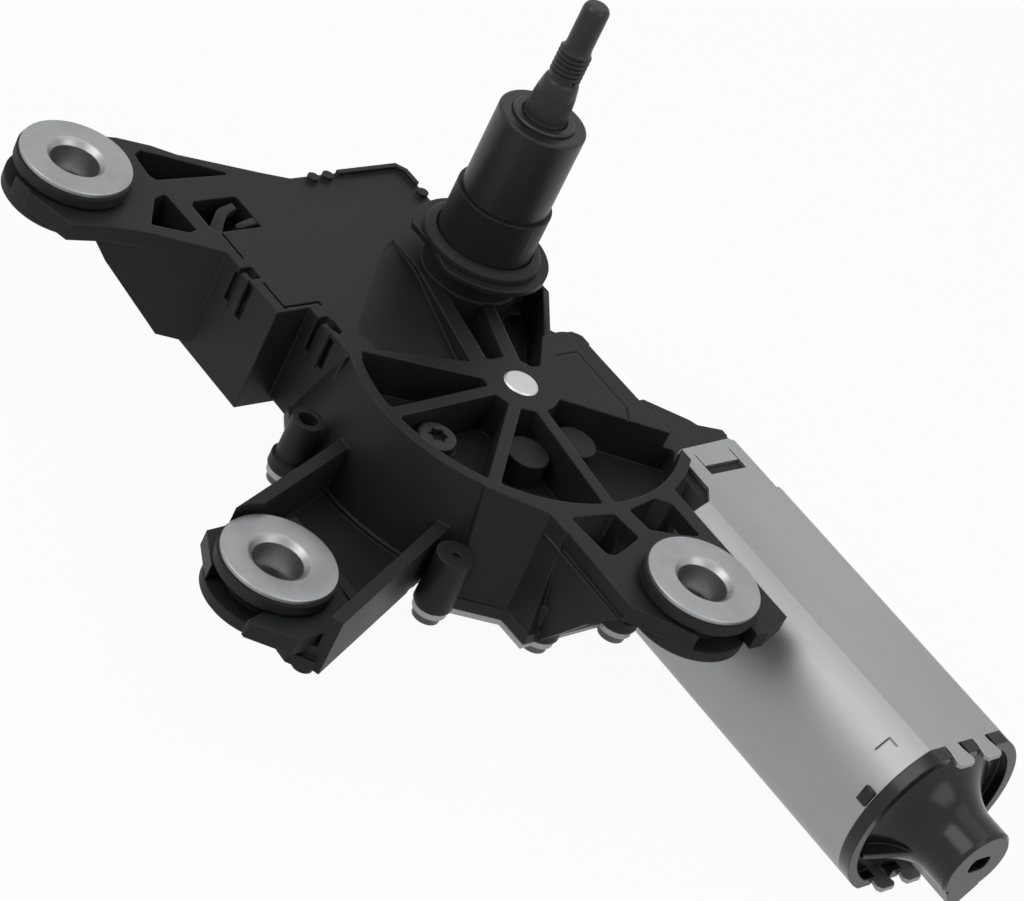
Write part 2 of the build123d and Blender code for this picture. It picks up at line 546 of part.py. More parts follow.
    # Screw pilot holes in the bosses
    with Locations(*[(x, y, RIM_Z) for x, y in SCREW_BOSSES]):
        Cylinder(1.7, 9.0, align=(Align.CENTER, Align.CENTER, Align.MIN), mode=Mode.SUBTRACT)
gear_housing.part.label = "gear_housing"
export_step(gear_housing.part, "parts/gear_housing.step")

with BuildPart() as cover_gasket:
    with BuildSketch(Plane.XY.offset(RIM_Z - GASKET)):
        add(GASKET_FACE)
        add(GASKET_HOLLOW, mode=Mode.SUBTRACT)
        with Locations(*SCREW_BOSSES):
            Circle(BOSS_R_SCREW - 0.8)
        with Locations(*SCREW_BOSSES):
            Circle(SCREW_SHANK_R + 0.3, mode=Mode.SUBTRACT)
    extrude(amount=GASKET)
cover_gasket.part.label = "cover_gasket"
export_step(cover_gasket.part, "parts/cover_gasket.step")

with BuildPart() as back_cover:
    with BuildSketch(Plane.XY.offset(RIM_Z - GASKET - SHEET)):
        add(COVER_FACE)
    extrude(amount=SHEET)
    with BuildSketch(Plane.XY.offset(PAN_Z)):
        add(PAN_FACE)
    extrude(amount=RIM_Z - GASKET - PAN_Z)
    with BuildSketch(Plane.XY.offset(PAN_Z + SHEET)):
        add(PAN_HOLLOW)
    extrude(amount=RIM_Z - PAN_Z, mode=Mode.SUBTRACT)
    with Locations(*[(x, y, RIM_Z - GASKET - SHEET) for x, y in SCREW_BOSSES]):
        Cylinder(SCREW_SHANK_R + 0.15, SHEET, align=(Align.CENTER, Align.CENTER, Align.MIN), mode=Mode.SUBTRACT)
back_cover.part.label = "back_cover"
export_step(back_cover.part, "parts/back_cover.step")

with BuildPart() as cover_screws:
    with Locations(*[(x, y, RIM_Z - GASKET - SHEET) for x, y in SCREW_BOSSES]):
        Cylinder(SCREW_SHANK_R, SHEET + GASKET + 8.0, align=(Align.CENTER, Align.CENTER, Align.MIN))
        Cylinder(SCREW_HEAD_R, 2.2, align=(Align.CENTER, Align.CENTER, Align.MAX))
    with BuildSketch(Plane.XY.offset(RIM_Z - GASKET - SHEET - 2.2)):
        with Locations(*SCREW_BOSSES):
            RegularPolygon(1.6, 6)
    extrude(amount=1.4, mode=Mode.SUBTRACT)
cover_screws.part.label = "cover_screws"
export_step(cover_screws.part, "parts/cover_screws.step")

with BuildPart() as floor_screw:
    with Locations((FLOOR_SCREW_X, FLOOR_SCREW_Y, FLOOR_SCREW_SEAT_Z)):
        Cylinder(4.9, 2.4, align=(Align.CENTER, Align.CENTER, Align.MIN))
        Cylinder(FLOOR_SCREW_R, 11.0, align=(Align.CENTER, Align.CENTER, Align.MAX))
    with BuildSketch(Plane.XY.offset(FLOOR_SCREW_SEAT_Z + 2.4)):
        with Locations((FLOOR_SCREW_X, FLOOR_SCREW_Y)):
            Circle(1.9)
            with PolarLocations(1.9, 6):
                Circle(0.55)
    extrude(amount=-1.8, mode=Mode.SUBTRACT)
    top_edges = floor_screw.edges().filter_by(GeomType.CIRCLE).filter_by(lambda edge: edge.radius > 4.8)
    fillet(top_edges.sort_by(Axis.Z)[-1], 0.9)
floor_screw.part.label = "floor_screw"
export_step(floor_screw.part, "parts/floor_screw.step")

with BuildPart() as wheel_pin:
    with BuildSketch(Plane.XZ.offset(-PIN_Y)):
        with BuildLine():
            Polyline((PIN_X, 0.3), (PIN_X + PIN_R - 0.5, 0.3), (PIN_X + PIN_R, -0.2), (PIN_X + PIN_R, -28.5),
                     (PIN_X + PIN_R - 0.7, -28.5), (PIN_X + PIN_R - 0.7, -29.2), (PIN_X + PIN_R, -29.2),
                     (PIN_X + PIN_R, -29.5), (PIN_X + PIN_R - 0.4, -29.9), (PIN_X, -29.9), close=True)
        make_face()
    revolve(axis=Axis((PIN_X, PIN_Y, 0), (0, 0, 1)))
wheel_pin.part.label = "wheel_pin"
export_step(wheel_pin.part, "parts/wheel_pin.step")

with BuildPart() as wheel_clip:
    with BuildSketch(Plane.XY.offset(-29.15)):
        with Locations((PIN_X, PIN_Y)):
            Circle(5.0)
            Circle(PIN_R - 0.7, mode=Mode.SUBTRACT)
        with Locations((PIN_X, PIN_Y + 4.0)):
            Rectangle(3.0, 5.0, mode=Mode.SUBTRACT)
    extrude(amount=0.6)
wheel_clip.part.label = "wheel_clip"
export_step(wheel_clip.part, "parts/wheel_clip.step")

with BuildPart() as wheel_washer:
    with Locations((PIN_X, PIN_Y, WHEEL_TOP_Z + 0.1)):
        Cylinder(HUB_LOW_R - 0.4, 0.4, align=(Align.CENTER, Align.CENTER, Align.MIN))
        Cylinder(PIN_R, 0.4, align=(Align.CENTER, Align.CENTER, Align.MIN), mode=Mode.SUBTRACT)
wheel_washer.part.label = "wheel_washer"
export_step(wheel_washer.part, "parts/wheel_washer.step")

# Worm wheel with straight teeth, thinned so that they run free of the worm's thread
with BuildPart() as worm_wheel:
    with BuildSketch(Plane.XY.offset(WHEEL_BOTTOM_Z)):
        with Locations((PIN_X, PIN_Y)):
            Circle(WHEEL_PITCH_R - 1.4)
            with PolarLocations(WHEEL_PITCH_R, WHEEL_TEETH, start_angle=90):
                Polygon((-1.8, -0.95), (1.0, -0.4), (1.0, 0.4), (-1.8, 0.95), align=None)
    extrude(amount=WHEEL_TOP_Z - 0.6 - WHEEL_BOTTOM_Z)
    with BuildSketch(Plane.XY.offset(WHEEL_TOP_Z - 0.6)):
        with Locations((PIN_X, PIN_Y)):
            Circle(29.0)
            Circle(10.0, mode=Mode.SUBTRACT)
    extrude(amount=-3.2, mode=Mode.SUBTRACT)
    with Locations((PIN_X, PIN_Y, WHEEL_TOP_Z)):
        Cylinder(7.5, WHEEL_TOP_Z - WHEEL_HUB_Z, align=(Align.CENTER, Align.CENTER, Align.MAX))
    with Locations((PIN_X, PIN_Y, WHEEL_TOP_Z - 1.1)):
        with PolarLocations(19.5, 6):
            Box(19.5, 2.0, 2.9, align=(Align.CENTER, Align.CENTER, Align.MAX))
    with Locations((PIN_X, PIN_Y, WHEEL_TOP_Z)):
        Cylinder(PIN_R + RUNNING_GAP, 20.0, mode=Mode.SUBTRACT)
    with Locations((EYE_X, EYE_Y, WHEEL_HUB_Z)):
        Cylinder(2.8, 4.0 + WHEEL_BOTTOM_Z - WHEEL_HUB_Z, align=(Align.CENTER, Align.CENTER, Align.MIN), mode=Mode.SUBTRACT)
worm_wheel.part.label = "worm_wheel"
export_step(worm_wheel.part, "parts/worm_wheel.step")

with BuildPart() as crank_pin:
    with Locations((EYE_X, EYE_Y, WHEEL_BOTTOM_Z + 4.0)):
        Cylinder(2.8, 4.0 + 2.7, align=(Align.CENTER, Align.CENTER, Align.MAX))
    chamfer(crank_pin.edges().filter_by(GeomType.CIRCLE).sort_by(Axis.Z)[0], 0.4)
crank_pin.part.label = "crank_pin"
export_step(crank_pin.part, "parts/crank_pin.step")

# Toothed rod: hub on the link's rivet, a sector that meshes with the pinion, a bar to the crank eye
SECTOR_AIM = math.degrees(math.atan2(-JOINT_Y, -JOINT_X))
with BuildPart() as toothed_rod:
    with BuildSketch(Plane.XY.offset(ROD_BOTTOM_Z)):
        with Locations((JOINT_X, JOINT_Y)):
            Circle(SECTOR_R - 1.35)
            with BuildLine():
                Polyline((JOINT_X, JOINT_Y), polar(JOINT_X, JOINT_Y, 30, SECTOR_AIM - 56),
                         polar(JOINT_X, JOINT_Y, 45, SECTOR_AIM - 7), polar(JOINT_X, JOINT_Y, 30, SECTOR_AIM + 42),
                         close=True)
        make_face(mode=Mode.INTERSECT)
        with Locations((JOINT_X, JOINT_Y)):
            Circle(6.6)
            with PolarLocations(SECTOR_R, 7, start_angle=SECTOR_AIM - 3.5 * 360 / 26, angular_range=6 * 360 / 26,
                                endpoint=True):
                Polygon((-1.6, -0.95), (0.9, -0.3), (0.9, 0.3), (-1.6, 0.95), align=None)
        with Locations((EYE_X, EYE_Y)):
            Circle(6.6)
        bar_x, bar_y = EYE_X - JOINT_X, EYE_Y - JOINT_Y
        with Locations(Location(((EYE_X + JOINT_X) / 2, (EYE_Y + JOINT_Y) / 2, 0),
                                (0, 0, math.degrees(math.atan2(bar_y, bar_x))))):
            Rectangle(math.hypot(bar_x, bar_y), 8.0)
        with Locations((EYE_X, EYE_Y), (JOINT_X, JOINT_Y)):
            Circle(3.05, mode=Mode.SUBTRACT)
    extrude(amount=ROD_TOP_Z - ROD_BOTTOM_Z)
toothed_rod.part.label = "toothed_rod"
export_step(toothed_rod.part, "parts/toothed_rod.step")

with BuildPart() as link_plate:
    with BuildSketch(Plane.XY.offset(LINK_BOTTOM_Z)):
        with Locations(Location((JOINT_X / 2, JOINT_Y / 2, 0), (0, 0, SECTOR_AIM))):
            SlotCenterToCenter(LINK_LENGTH, 12.0)
        Circle(3.45, mode=Mode.SUBTRACT)
        with Locations((JOINT_X, JOINT_Y)):
            Circle(2.2, mode=Mode.SUBTRACT)
    extrude(amount=LINK_TOP_Z - LINK_BOTTOM_Z)
link_plate.part.label = "link_plate"
export_step(link_plate.part, "parts/link_plate.step")

with BuildPart() as link_rivet:
    with Locations((JOINT_X, JOINT_Y, LINK_BOTTOM_Z)):
        Cylinder(2.2, LINK_TOP_Z - LINK_BOTTOM_Z, align=(Align.CENTER, Align.CENTER, Align.MIN))
    with Locations((JOINT_X, JOINT_Y, LINK_TOP_Z)):
        Cylinder(3.0, ROD_TOP_Z + 0.2 - LINK_TOP_Z, align=(Align.CENTER, Align.CENTER, Align.MIN))
    with Locations((JOINT_X, JOINT_Y, ROD_TOP_Z + 0.2)):
        Cylinder(4.4, 0.9, align=(Align.CENTER, Align.CENTER, Align.MIN))
link_rivet.part.label = "link_rivet"
export_step(link_rivet.part, "parts/link_rivet.step")

with BuildPart() as pinion:
    with BuildSketch(Plane.XY.offset(ROD_BOTTOM_Z - 0.1)):
        Circle(PINION_R - 1.25)
        with PolarLocations(PINION_R, PINION_TEETH, start_angle=SECTOR_AIM + 180):
            Polygon((-1.6, -0.9), (0.9, -0.3), (0.9, 0.3), (-1.6, 0.9), align=None)
        Circle(SPINDLE_LOW_R, mode=Mode.SUBTRACT)
    extrude(amount=ROD_TOP_Z - ROD_BOTTOM_Z + 0.4)
pinion.part.label = "pinion"
export_step(pinion.part, "parts/pinion.step")

# Output spindle; the thread is drawn as rings
thread_profile = []
ring_count = int((THREAD_TOP_Z - TAPER_TOP_Z - 1.0) / THREAD_PITCH)
for ring in range(ring_count):
    ring_z = TAPER_TOP_Z + 1.2 + ring * THREAD_PITCH
    thread_profile += [(THREAD_CORE_R, ring_z), (THREAD_R, ring_z + 0.4), (THREAD_R, ring_z + 0.75)]
with BuildPart() as output_spindle:
    with BuildSketch(Plane.XZ):
        with BuildLine():
            Polyline((0, SPINDLE_END_Z - 0.7), (3.0, SPINDLE_END_Z - 0.7), (3.4, SPINDLE_END_Z - 0.3), (3.4, -33.1),
                     (SPINDLE_LOW_R, -33.1), (SPINDLE_LOW_R, -19.1), (4.0, -19.1), (4.0, -18.3),
                     (SPINDLE_R, -18.3), (SPINDLE_R, 39.8), (4.6, 39.8), (4.6, 41.6), (SPINDLE_R, 41.6),
                     (SPINDLE_R, TAPER_BASE_Z), (TAPER_TOP_R, TAPER_TOP_Z), (THREAD_CORE_R, TAPER_TOP_Z + 0.6),
                     *thread_profile, (THREAD_CORE_R, THREAD_TOP_Z + 0.3), (TIP_R, THREAD_TOP_Z + 0.6),
                     (TIP_R, SPINDLE_TIP_Z - 0.8), (TIP_R - 0.8, SPINDLE_TIP_Z), (0, SPINDLE_TIP_Z), close=True)
        make_face()
    revolve(axis=Axis.Z)
output_spindle.part.label = "output_spindle"
export_step(output_spindle.part, "parts/output_spindle.step")

with BuildPart() as spindle_seal_ring:
    with BuildSketch(Plane.XZ):
        with Locations((5.04, 40.7)):
            Ellipse(0.43, 0.8)
    revolve(axis=Axis.Z)
spindle_seal_ring.part.label = "spindle_seal_ring"
export_step(spindle_seal_ring.part, "parts/spindle_seal_ring.step")

with BuildPart() as spindle_circlip:
    with BuildSketch(Plane.XY.offset(-19.05)):
        Circle(6.0)
        Circle(4.0, mode=Mode.SUBTRACT)
        with Locations((-5.0, 0)):
            Rectangle(4.0, 3.0, mode=Mode.SUBTRACT)
    extrude(amount=0.7)
spindle_circlip.part.label = "spindle_circlip"
export_step(spindle_circlip.part, "parts/spindle_circlip.step")

with BuildPart() as bearing_washer:
    with Locations((0, 0, BUSH_BOTTOM_Z)):
        Cylinder(7.6, 0.6, align=(Align.CENTER, Align.CENTER, Align.MAX))
        Cylinder(BUSH_BORE_R, 0.6, align=(Align.CENTER, Align.CENTER, Align.MAX), mode=Mode.SUBTRACT)
bearing_washer.part.label = "bearing_washer"
export_step(bearing_washer.part, "parts/bearing_washer.step")

with BuildPart() as link_clip:
    with BuildSketch(Plane.XY.offset(SPINDLE_END_Z - 0.3)):
        Circle(5.4)
        Circle(3.4, mode=Mode.SUBTRACT)
    extrude(amount=0.6)
link_clip.part.label = "link_clip"
export_step(link_clip.part, "parts/link_clip.step")

with BuildPart() as bearing_tube:
    with Locations((0, 0, BUSH_BOTTOM_Z)):
        Cylinder(BUSH_R, BUSH_TOP_Z - BUSH_BOTTOM_Z, align=(Align.CENTER, Align.CENTER, Align.MIN))
        Cylinder(BUSH_BORE_R, BUSH_TOP_Z - BUSH_BOTTOM_Z, align=(Align.CENTER, Align.CENTER, Align.MIN),
                 mode=Mode.SUBTRACT)
    chamfer(bearing_tube.edges().filter_by(GeomType.CIRCLE).group_by(Axis.Z)[-1], 0.4)
bearing_tube.part.label = "bearing_tube"
export_step(bearing_tube.part, "parts/bearing_tube.step")

with BuildPart() as spindle_sleeve:
    with Locations((0, 0, BOSS_TOP_Z)):
        Cylinder(SLEEVE_R, SLEEVE_TOP_Z - BOSS_TOP_Z, align=(Align.CENTER, Align.CENTER, Align.MIN))
        Cylinder(BUSH_R, SLEEVE_TOP_Z - BOSS_TOP_Z, align=(Align.CENTER, Align.CENTER, Align.MIN),
                 mode=Mode.SUBTRACT)
    fillet(spindle_sleeve.edges().filter_by(GeomType.CIRCLE).group_by(Axis.Z)[-1].sort_by(SortBy.RADIUS)[-1], 0.6)
spindle_sleeve.part.label = "spindle_sleeve"
export_step(spindle_sleeve.part, "parts/spindle_sleeve.step")

with BuildPart() as collar_seal:
    with BuildSketch(Plane.XZ):
        with BuildLine():
            Polyline((SEAL_INNER_R, COLLAR_SEAT_Z), (SEAL_OUTER_R, COLLAR_SEAT_Z), (SEAL_OUTER_R, SEAL_TOP_Z - 1.2))
            RadiusArc((SEAL_OUTER_R, SEAL_TOP_Z - 1.2), (SEAL_INNER_R + 0.3, SEAL_TOP_Z), -3.4)
            Polyline((SEAL_INNER_R + 0.3, SEAL_TOP_Z), (SEAL_INNER_R, SEAL_TOP_Z - 0.4), (SEAL_INNER_R, COLLAR_SEAT_Z))
        make_face()
    revolve(axis=Axis.Z)
collar_seal.part.label = "collar_seal"
export_step(collar_seal.part, "parts/collar_seal.step")

# Rubber grommets and steel bushes in the three ears
for side, (centre_x, centre_y, flange_z, opening) in zip(("left", "front", "right"), EARS):
    axis_line = Axis((centre_x, centre_y, 0), (0, 0, 1))
    with BuildPart() as grommet:
        with BuildSketch(Plane.XZ.offset(-centre_y)):
            with Locations((centre_x, flange_z)):
                Polygon((7.2, -FLANGE_THICK), (LIP_R, -FLANGE_THICK), (LIP_R, -4.0), (LIP_R - 0.6, -4.65),
                        (NECK_R, -4.65), (NECK_R, -9.05), (LOWER_LIP_R, -9.05), (LOWER_LIP_R, -11.7),
                        (LOWER_LIP_R - 0.6, -12.3), (7.2, -12.3), align=None)
        revolve(axis=axis_line)
    grommet.part.label = "grommet_" + side
    export_step(grommet.part, "parts/grommet_" + side + ".step")
    with BuildPart() as steel_bush:
        with BuildSketch(Plane.XZ.offset(-centre_y)):
            with Locations((centre_x, flange_z)):
                Polygon((DISH_R, 0), (FLANGE_R - 0.3, 0), (FLANGE_R, -0.3), (FLANGE_R, -FLANGE_THICK), (7.2, -FLANGE_THICK),
                        (7.2, -12.3), (6.0, -12.3), (6.0, -DISH_DEPTH), align=None)
        revolve(axis=axis_line)
    steel_bush.part.label = "steel_bush_" + side
    export_step(steel_bush.part, "parts/steel_bush_" + side + ".step")
    with BuildPart() as bush_base:
        with BuildSketch(Plane.XZ.offset(-centre_y)):
            with Locations((centre_x, flange_z)):
                Polygon((BOLT_R, -9.4), (6.0, -9.4), (6.0, -12.3), (11.0, -12.3), (11.0, -13.5), (BOLT_R, -13.5), align=None)
        revolve(axis=axis_line)
    bush_base.part.label = "bush_base_" + side
    export_step(bush_base.part, "parts/bush_base_" + side + ".step")

# Armature: shaft with its worm, plates, windings and commutator
SHAFT_R = 3.0
WORM_TURNS = 6.4
WORM_START_X = PIN_X - 3.5 * TOOTH_PITCH
worm_path = Helix(pitch=TOOTH_PITCH, height=WORM_TURNS * TOOTH_PITCH, radius=3.6)
worm_face = Plane(origin=worm_path @ 0, x_dir=(1, 0, 0), z_dir=worm_path % 0) * Polygon(
    (-0.4, -0.85), (2.2, -0.35), (2.2, 0.35), (-0.4, 0.85), align=None)
worm_thread = sweep(worm_face, path=worm_path, is_frenet=True)
with BuildPart() as armature_shaft:
    with Locations(Location((18.0, MOTOR_Y, MOTOR_Z), (0, 90, 0))):
        Cylinder(SHAFT_R, 154.5, align=(Align.CENTER, Align.CENTER, Align.MIN))
    with Locations(Location((WORM_START_X - 1.0, MOTOR_Y, MOTOR_Z), (0, 90, 0))):
        Cylinder(3.7, WORM_TURNS * TOOTH_PITCH + 2.0, align=(Align.CENTER, Align.CENTER, Align.MIN))
    add(Plane(origin=(WORM_START_X, MOTOR_Y, MOTOR_Z), x_dir=(0, -1, 0), z_dir=(1, 0, 0)) * worm_thread)
armature_shaft.part.label = "armature_shaft"
export_step(armature_shaft.part, "parts/armature_shaft.step")

with BuildPart() as laminations:
    with BuildSketch(Plane.YZ.offset(101.0)):
        with Locations((MOTOR_Y, MOTOR_Z)):
            Circle(16.6)
            Circle(SHAFT_R, mode=Mode.SUBTRACT)
            with PolarLocations(16.0, 10):
                Rectangle(3.0, 1.6, mode=Mode.SUBTRACT)
            with PolarLocations(11.4, 10):
                Circle(2.9, mode=Mode.SUBTRACT)
    extrude(amount=37.0)
laminations.part.label = "laminations"
export_step(laminations.part, "parts/laminations.step")

with BuildPart() as windings:
    for start_x, length in ((97.5, 3.5), (138.0, 4.5)):
        with BuildSketch(Plane.YZ.offset(start_x)):
            with Locations((MOTOR_Y, MOTOR_Z)):
                Circle(14.4)
                Circle(7.6, mode=Mode.SUBTRACT)
        extrude(amount=length)
    with BuildSketch(Plane.YZ.offset(101.0)):
        with Locations((MOTOR_Y, MOTOR_Z)):
            with PolarLocations(11.4, 10):
                Circle(2.7)
    extrude(amount=37.0)
windings.part.label = "windings"
export_step(windings.part, "parts/windings.step")

with BuildPart() as commutator:
    with BuildSketch(Plane.YZ.offset(84.0)):
        with Locations((MOTOR_Y, MOTOR_Z)):
            Circle(8.0)
            Circle(SHAFT_R, mode=Mode.SUBTRACT)
            with PolarLocations(7.7, 10, start_angle=18):
                Rectangle(1.6, 0.5, mode=Mode.SUBTRACT)
    extrude(amount=10.5)
    with Locations(Location((94.5, MOTOR_Y, MOTOR_Z), (0, 90, 0))):
        Cylinder(9.4, 1.5, align=(Align.CENTER, Align.CENTER, Align.MIN))
        Cylinder(SHAFT_R, 1.5, align=(Align.CENTER, Align.CENTER, Align.MIN), mode=Mode.SUBTRACT)
commutator.part.label = "commutator"
export_step(commutator.part, "parts/commutator.step")

# Bearings and thrust plugs of the armature
for bearing_name, bearing_x in (("gear_bearing", 18.5), ("front_bearing", 70.0), ("rear_bearing", 166.0)):
    with BuildPart() as bearing:
        with Locations(Location((bearing_x, MOTOR_Y, MOTOR_Z), (0, 90, 0))):
            Cylinder(5.0, 5.0, align=(Align.CENTER, Align.CENTER, Align.MIN))
            Cylinder(SHAFT_R + RUNNING_GAP, 5.0, align=(Align.CENTER, Align.CENTER, Align.MIN), mode=Mode.SUBTRACT)
    bearing.part.label = bearing_name
    export_step(bearing.part, "parts/" + bearing_name + ".step")
with BuildPart() as thrust_plugs:
    with Locations(Location((16.0, MOTOR_Y, MOTOR_Z), (0, 90, 0)), Location((172.6, MOTOR_Y, MOTOR_Z), (0, 90, 0))):
        Cylinder(3.4, 1.9, align=(Align.CENTER, Align.CENTER, Align.MIN))
thrust_plugs.part.label = "thrust_plugs"
export_step(thrust_plugs.part, "parts/thrust_plugs.step")

with BuildPart() as motor_tube:
    with BuildSketch(Plane.YZ.offset(TUBE_START_X)):
        add(tube_section(TUBE_R, TUBE_HALF_HEIGHT))
        add(tube_section(TUBE_R - TUBE_WALL, TUBE_HALF_HEIGHT - TUBE_WALL), mode=Mode.SUBTRACT)
    extrude(amount=TUBE_END_X - TUBE_START_X)
    # Tongue along the top, with a window and a lanced tab
    with BuildSketch(Plane.XY.offset(MOTOR_Z + TUBE_HALF_HEIGHT - TUBE_WALL)):
        with BuildLine():
            Polyline((66.0, 17.4), (78.0, 17.4), (82.3, 13.9), (82.3, 37.0), (65.5, 37.0), (64.5, 35.5), (65.0, 19.0),
                     close=True)
        make_face()
        with Locations((70.95, 27.6)):
            Rectangle(6.7, 12.0, mode=Mode.SUBTRACT)
        with Locations((69.7, 27.6)):
            Rectangle(3.2, 11.0)
        with Locations((68.0, 27.6)):
            Rectangle(1.4, 11.0)
    extrude(amount=TUBE_WALL)
    # Dovetail fingers that are bent over the cap, above and below
    for z, out in ((MOTOR_Z + TUBE_HALF_HEIGHT - TUBE_WALL, 1), (MOTOR_Z - TUBE_HALF_HEIGHT, -1)):
        with BuildSketch(Plane.XY.offset(z)):
            for middle in FINGER_Y:
                with BuildLine():
                    Polyline((TUBE_END_X - 1.0, middle - 2.0), (TUBE_END_X + 1.6, middle - 2.0),
                             (TUBE_END_X + 5.2, middle - 2.8), (TUBE_END_X + 6.2, middle - 2.0),
                             (TUBE_END_X + 6.2, middle + 2.0), (TUBE_END_X + 5.2, middle + 2.8),
                             (TUBE_END_X + 1.6, middle + 2.0), (TUBE_END_X - 1.0, middle + 2.0), close=True)
                make_face()
        extrude(amount=TUBE_WALL)
motor_tube.part.label = "motor_tube"
export_step(motor_tube.part, "parts/motor_tube.step")

with BuildPart() as magnets:
    with BuildSketch(Plane.YZ.offset(99.0)):
        add(tube_section(TUBE_R - TUBE_WALL, TUBE_HALF_HEIGHT - TUBE_WALL))
        with Locations((MOTOR_Y, MOTOR_Z)):
            Circle(17.4, mode=Mode.SUBTRACT)
            Rectangle(22.0, 60.0, mode=Mode.SUBTRACT)
    extrude(amount=43.0)
magnets.part.label = "magnets"
export_step(magnets.part, "parts/magnets.step")

# End cap: a plug in the tube, a rim, and a flared hub that holds the rear bearing
CAP_FRONT_X = 183.5
CAP_RIM_X = TUBE_END_X + 3.4
CAP_FLOOR_X = TUBE_END_X + 0.8
CAP_RIM_WALL = 2.6
FLARE_R = 17.6
CAP_BOSS_R = 9.6
CAP_RIB_ANGLES = (205.0, 335.0)
CAP_RIB_HALF = 0.8
with BuildPart() as end_cap:
    with BuildSketch(Plane.YZ.offset(TUBE_END_X - 6.0)):
        add(tube_section(TUBE_R - TUBE_WALL, TUBE_HALF_HEIGHT - TUBE_WALL))
        add(tube_section(TUBE_R - TUBE_WALL - 2.0, TUBE_HALF_HEIGHT - TUBE_WALL - 2.0), mode=Mode.SUBTRACT)
    extrude(amount=4.0)
    with BuildSketch(Plane.YZ.offset(TUBE_END_X - 2.0)):
        add(tube_section(TUBE_R - TUBE_WALL, TUBE_HALF_HEIGHT - TUBE_WALL))
    extrude(amount=2.0)
    with BuildSketch(Plane.YZ.offset(TUBE_END_X)):
        add(tube_section(TUBE_R, TUBE_HALF_HEIGHT))
    extrude(amount=CAP_RIM_X - TUBE_END_X)
    with BuildSketch(Plane.YZ.offset(CAP_FLOOR_X)):
        add(tube_section(TUBE_R - CAP_RIM_WALL, TUBE_HALF_HEIGHT - CAP_RIM_WALL))
    extrude(amount=CAP_RIM_X - CAP_FLOOR_X, mode=Mode.SUBTRACT)
    # Flared hub and its boss, turned about the motor's axis
    with BuildSketch(Plane.XZ.offset(-MOTOR_Y)):
        with BuildLine():
            Polyline((CAP_FLOOR_X - 0.4, MOTOR_Z), (CAP_FLOOR_X - 0.4, MOTOR_Z + FLARE_R),
                     (CAP_FLOOR_X + 0.6, MOTOR_Z + FLARE_R))
            ThreePointArc((CAP_FLOOR_X + 0.6, MOTOR_Z + FLARE_R), (CAP_FLOOR_X + 4.6, MOTOR_Z + 12.4),
                          (CAP_FLOOR_X + 11.2, MOTOR_Z + CAP_BOSS_R))
            Polyline((CAP_FLOOR_X + 11.2, MOTOR_Z + CAP_BOSS_R), (CAP_FRONT_X - 0.8, MOTOR_Z + CAP_BOSS_R),
                     (CAP_FRONT_X, MOTOR_Z + CAP_BOSS_R - 0.8), (CAP_FRONT_X, MOTOR_Z),
                     (CAP_FLOOR_X - 0.4, MOTOR_Z))
        make_face()
    revolve(axis=Axis((0, MOTOR_Y, MOTOR_Z), (1, 0, 0)))
    # Ribs from the rim to the boss, and the pointed lug below the boss
    for rib_angle in CAP_RIB_ANGLES:
        with BuildSketch(Plane(origin=(0, MOTOR_Y, MOTOR_Z), x_dir=(1, 0, 0),
                               z_dir=(0, -math.sin(math.radians(rib_angle)), math.cos(math.radians(rib_angle))))):
            Polygon((CAP_FLOOR_X - 0.4, 0), (CAP_FLOOR_X - 0.4, 20.0), (CAP_RIM_X, 20.0), (CAP_FLOOR_X + 9.0, 9.0),
                    (CAP_FLOOR_X + 9.0, 0), align=None)
        extrude(amount=CAP_RIB_HALF, both=True)
    with BuildSketch(Plane.YZ.offset(CAP_FLOOR_X)):
        with Locations((MOTOR_Y, MOTOR_Z)):
            Polygon((-5.5, -7.5), (-1.6, -12.6), (1.6, -12.6), (5.5, -7.5), align=None)
    extrude(amount=CAP_FRONT_X - CAP_FLOOR_X)
    # Notches for the tube's fingers
    for side in (1, -1):
        for middle in FINGER_Y:
            with Locations((TUBE_END_X, middle, MOTOR_Z + side * TUBE_HALF_HEIGHT)):
                Box(10.0, 6.0, 2.0 * CAP_RIM_WALL + 0.6, align=(Align.MIN, Align.CENTER, Align.CENTER), mode=Mode.SUBTRACT)
    # Seat of the rear bearing, and a small recess in the face of the boss
    with Locations(Location((TUBE_END_X - 2.5, MOTOR_Y, MOTOR_Z), (0, 90, 0))):
        Cylinder(5.0, 9.5, align=(Align.CENTER, Align.CENTER, Align.MIN), mode=Mode.SUBTRACT)
        Cylinder(3.4, 13.0, align=(Align.CENTER, Align.CENTER, Align.MIN), mode=Mode.SUBTRACT)
    with BuildSketch(Plane.YZ.offset(CAP_FRONT_X)):
        with Locations((MOTOR_Y, MOTOR_Z + 0.6)):
            RectangleRounded(6.4, 4.4, 1.6)
    extrude(amount=-3.0, mode=Mode.SUBTRACT)
end_cap.part.label = "end_cap"
export_step(end_cap.part, "parts/end_cap.step")

# Brush gear round the commutator
HOLDER_X = 87.0
with BuildPart() as brush_holder:
    with BuildSketch(Plane.YZ.offset(HOLDER_X)):
        add(tube_section(TUBE_R - TUBE_WALL - 0.1, TUBE_HALF_HEIGHT - TUBE_WALL - 0.1))
        with Locations((MOTOR_Y, MOTOR_Z)):
            Circle(9.9, mode=Mode.SUBTRACT)
    extrude(amount=1.6)
    with Locations((HOLDER_X + 4.6, MOTOR_Y + 14.6, MOTOR_Z), (HOLDER_X + 4.6, MOTOR_Y - 14.6, MOTOR_Z)):
        Box(6.0, 9.0, 7.0)
        Box(4.0, 9.0, 5.0, mode=Mode.SUBTRACT)
brush_holder.part.label = "brush_holder"
export_step(brush_holder.part, "parts/brush_holder.step")

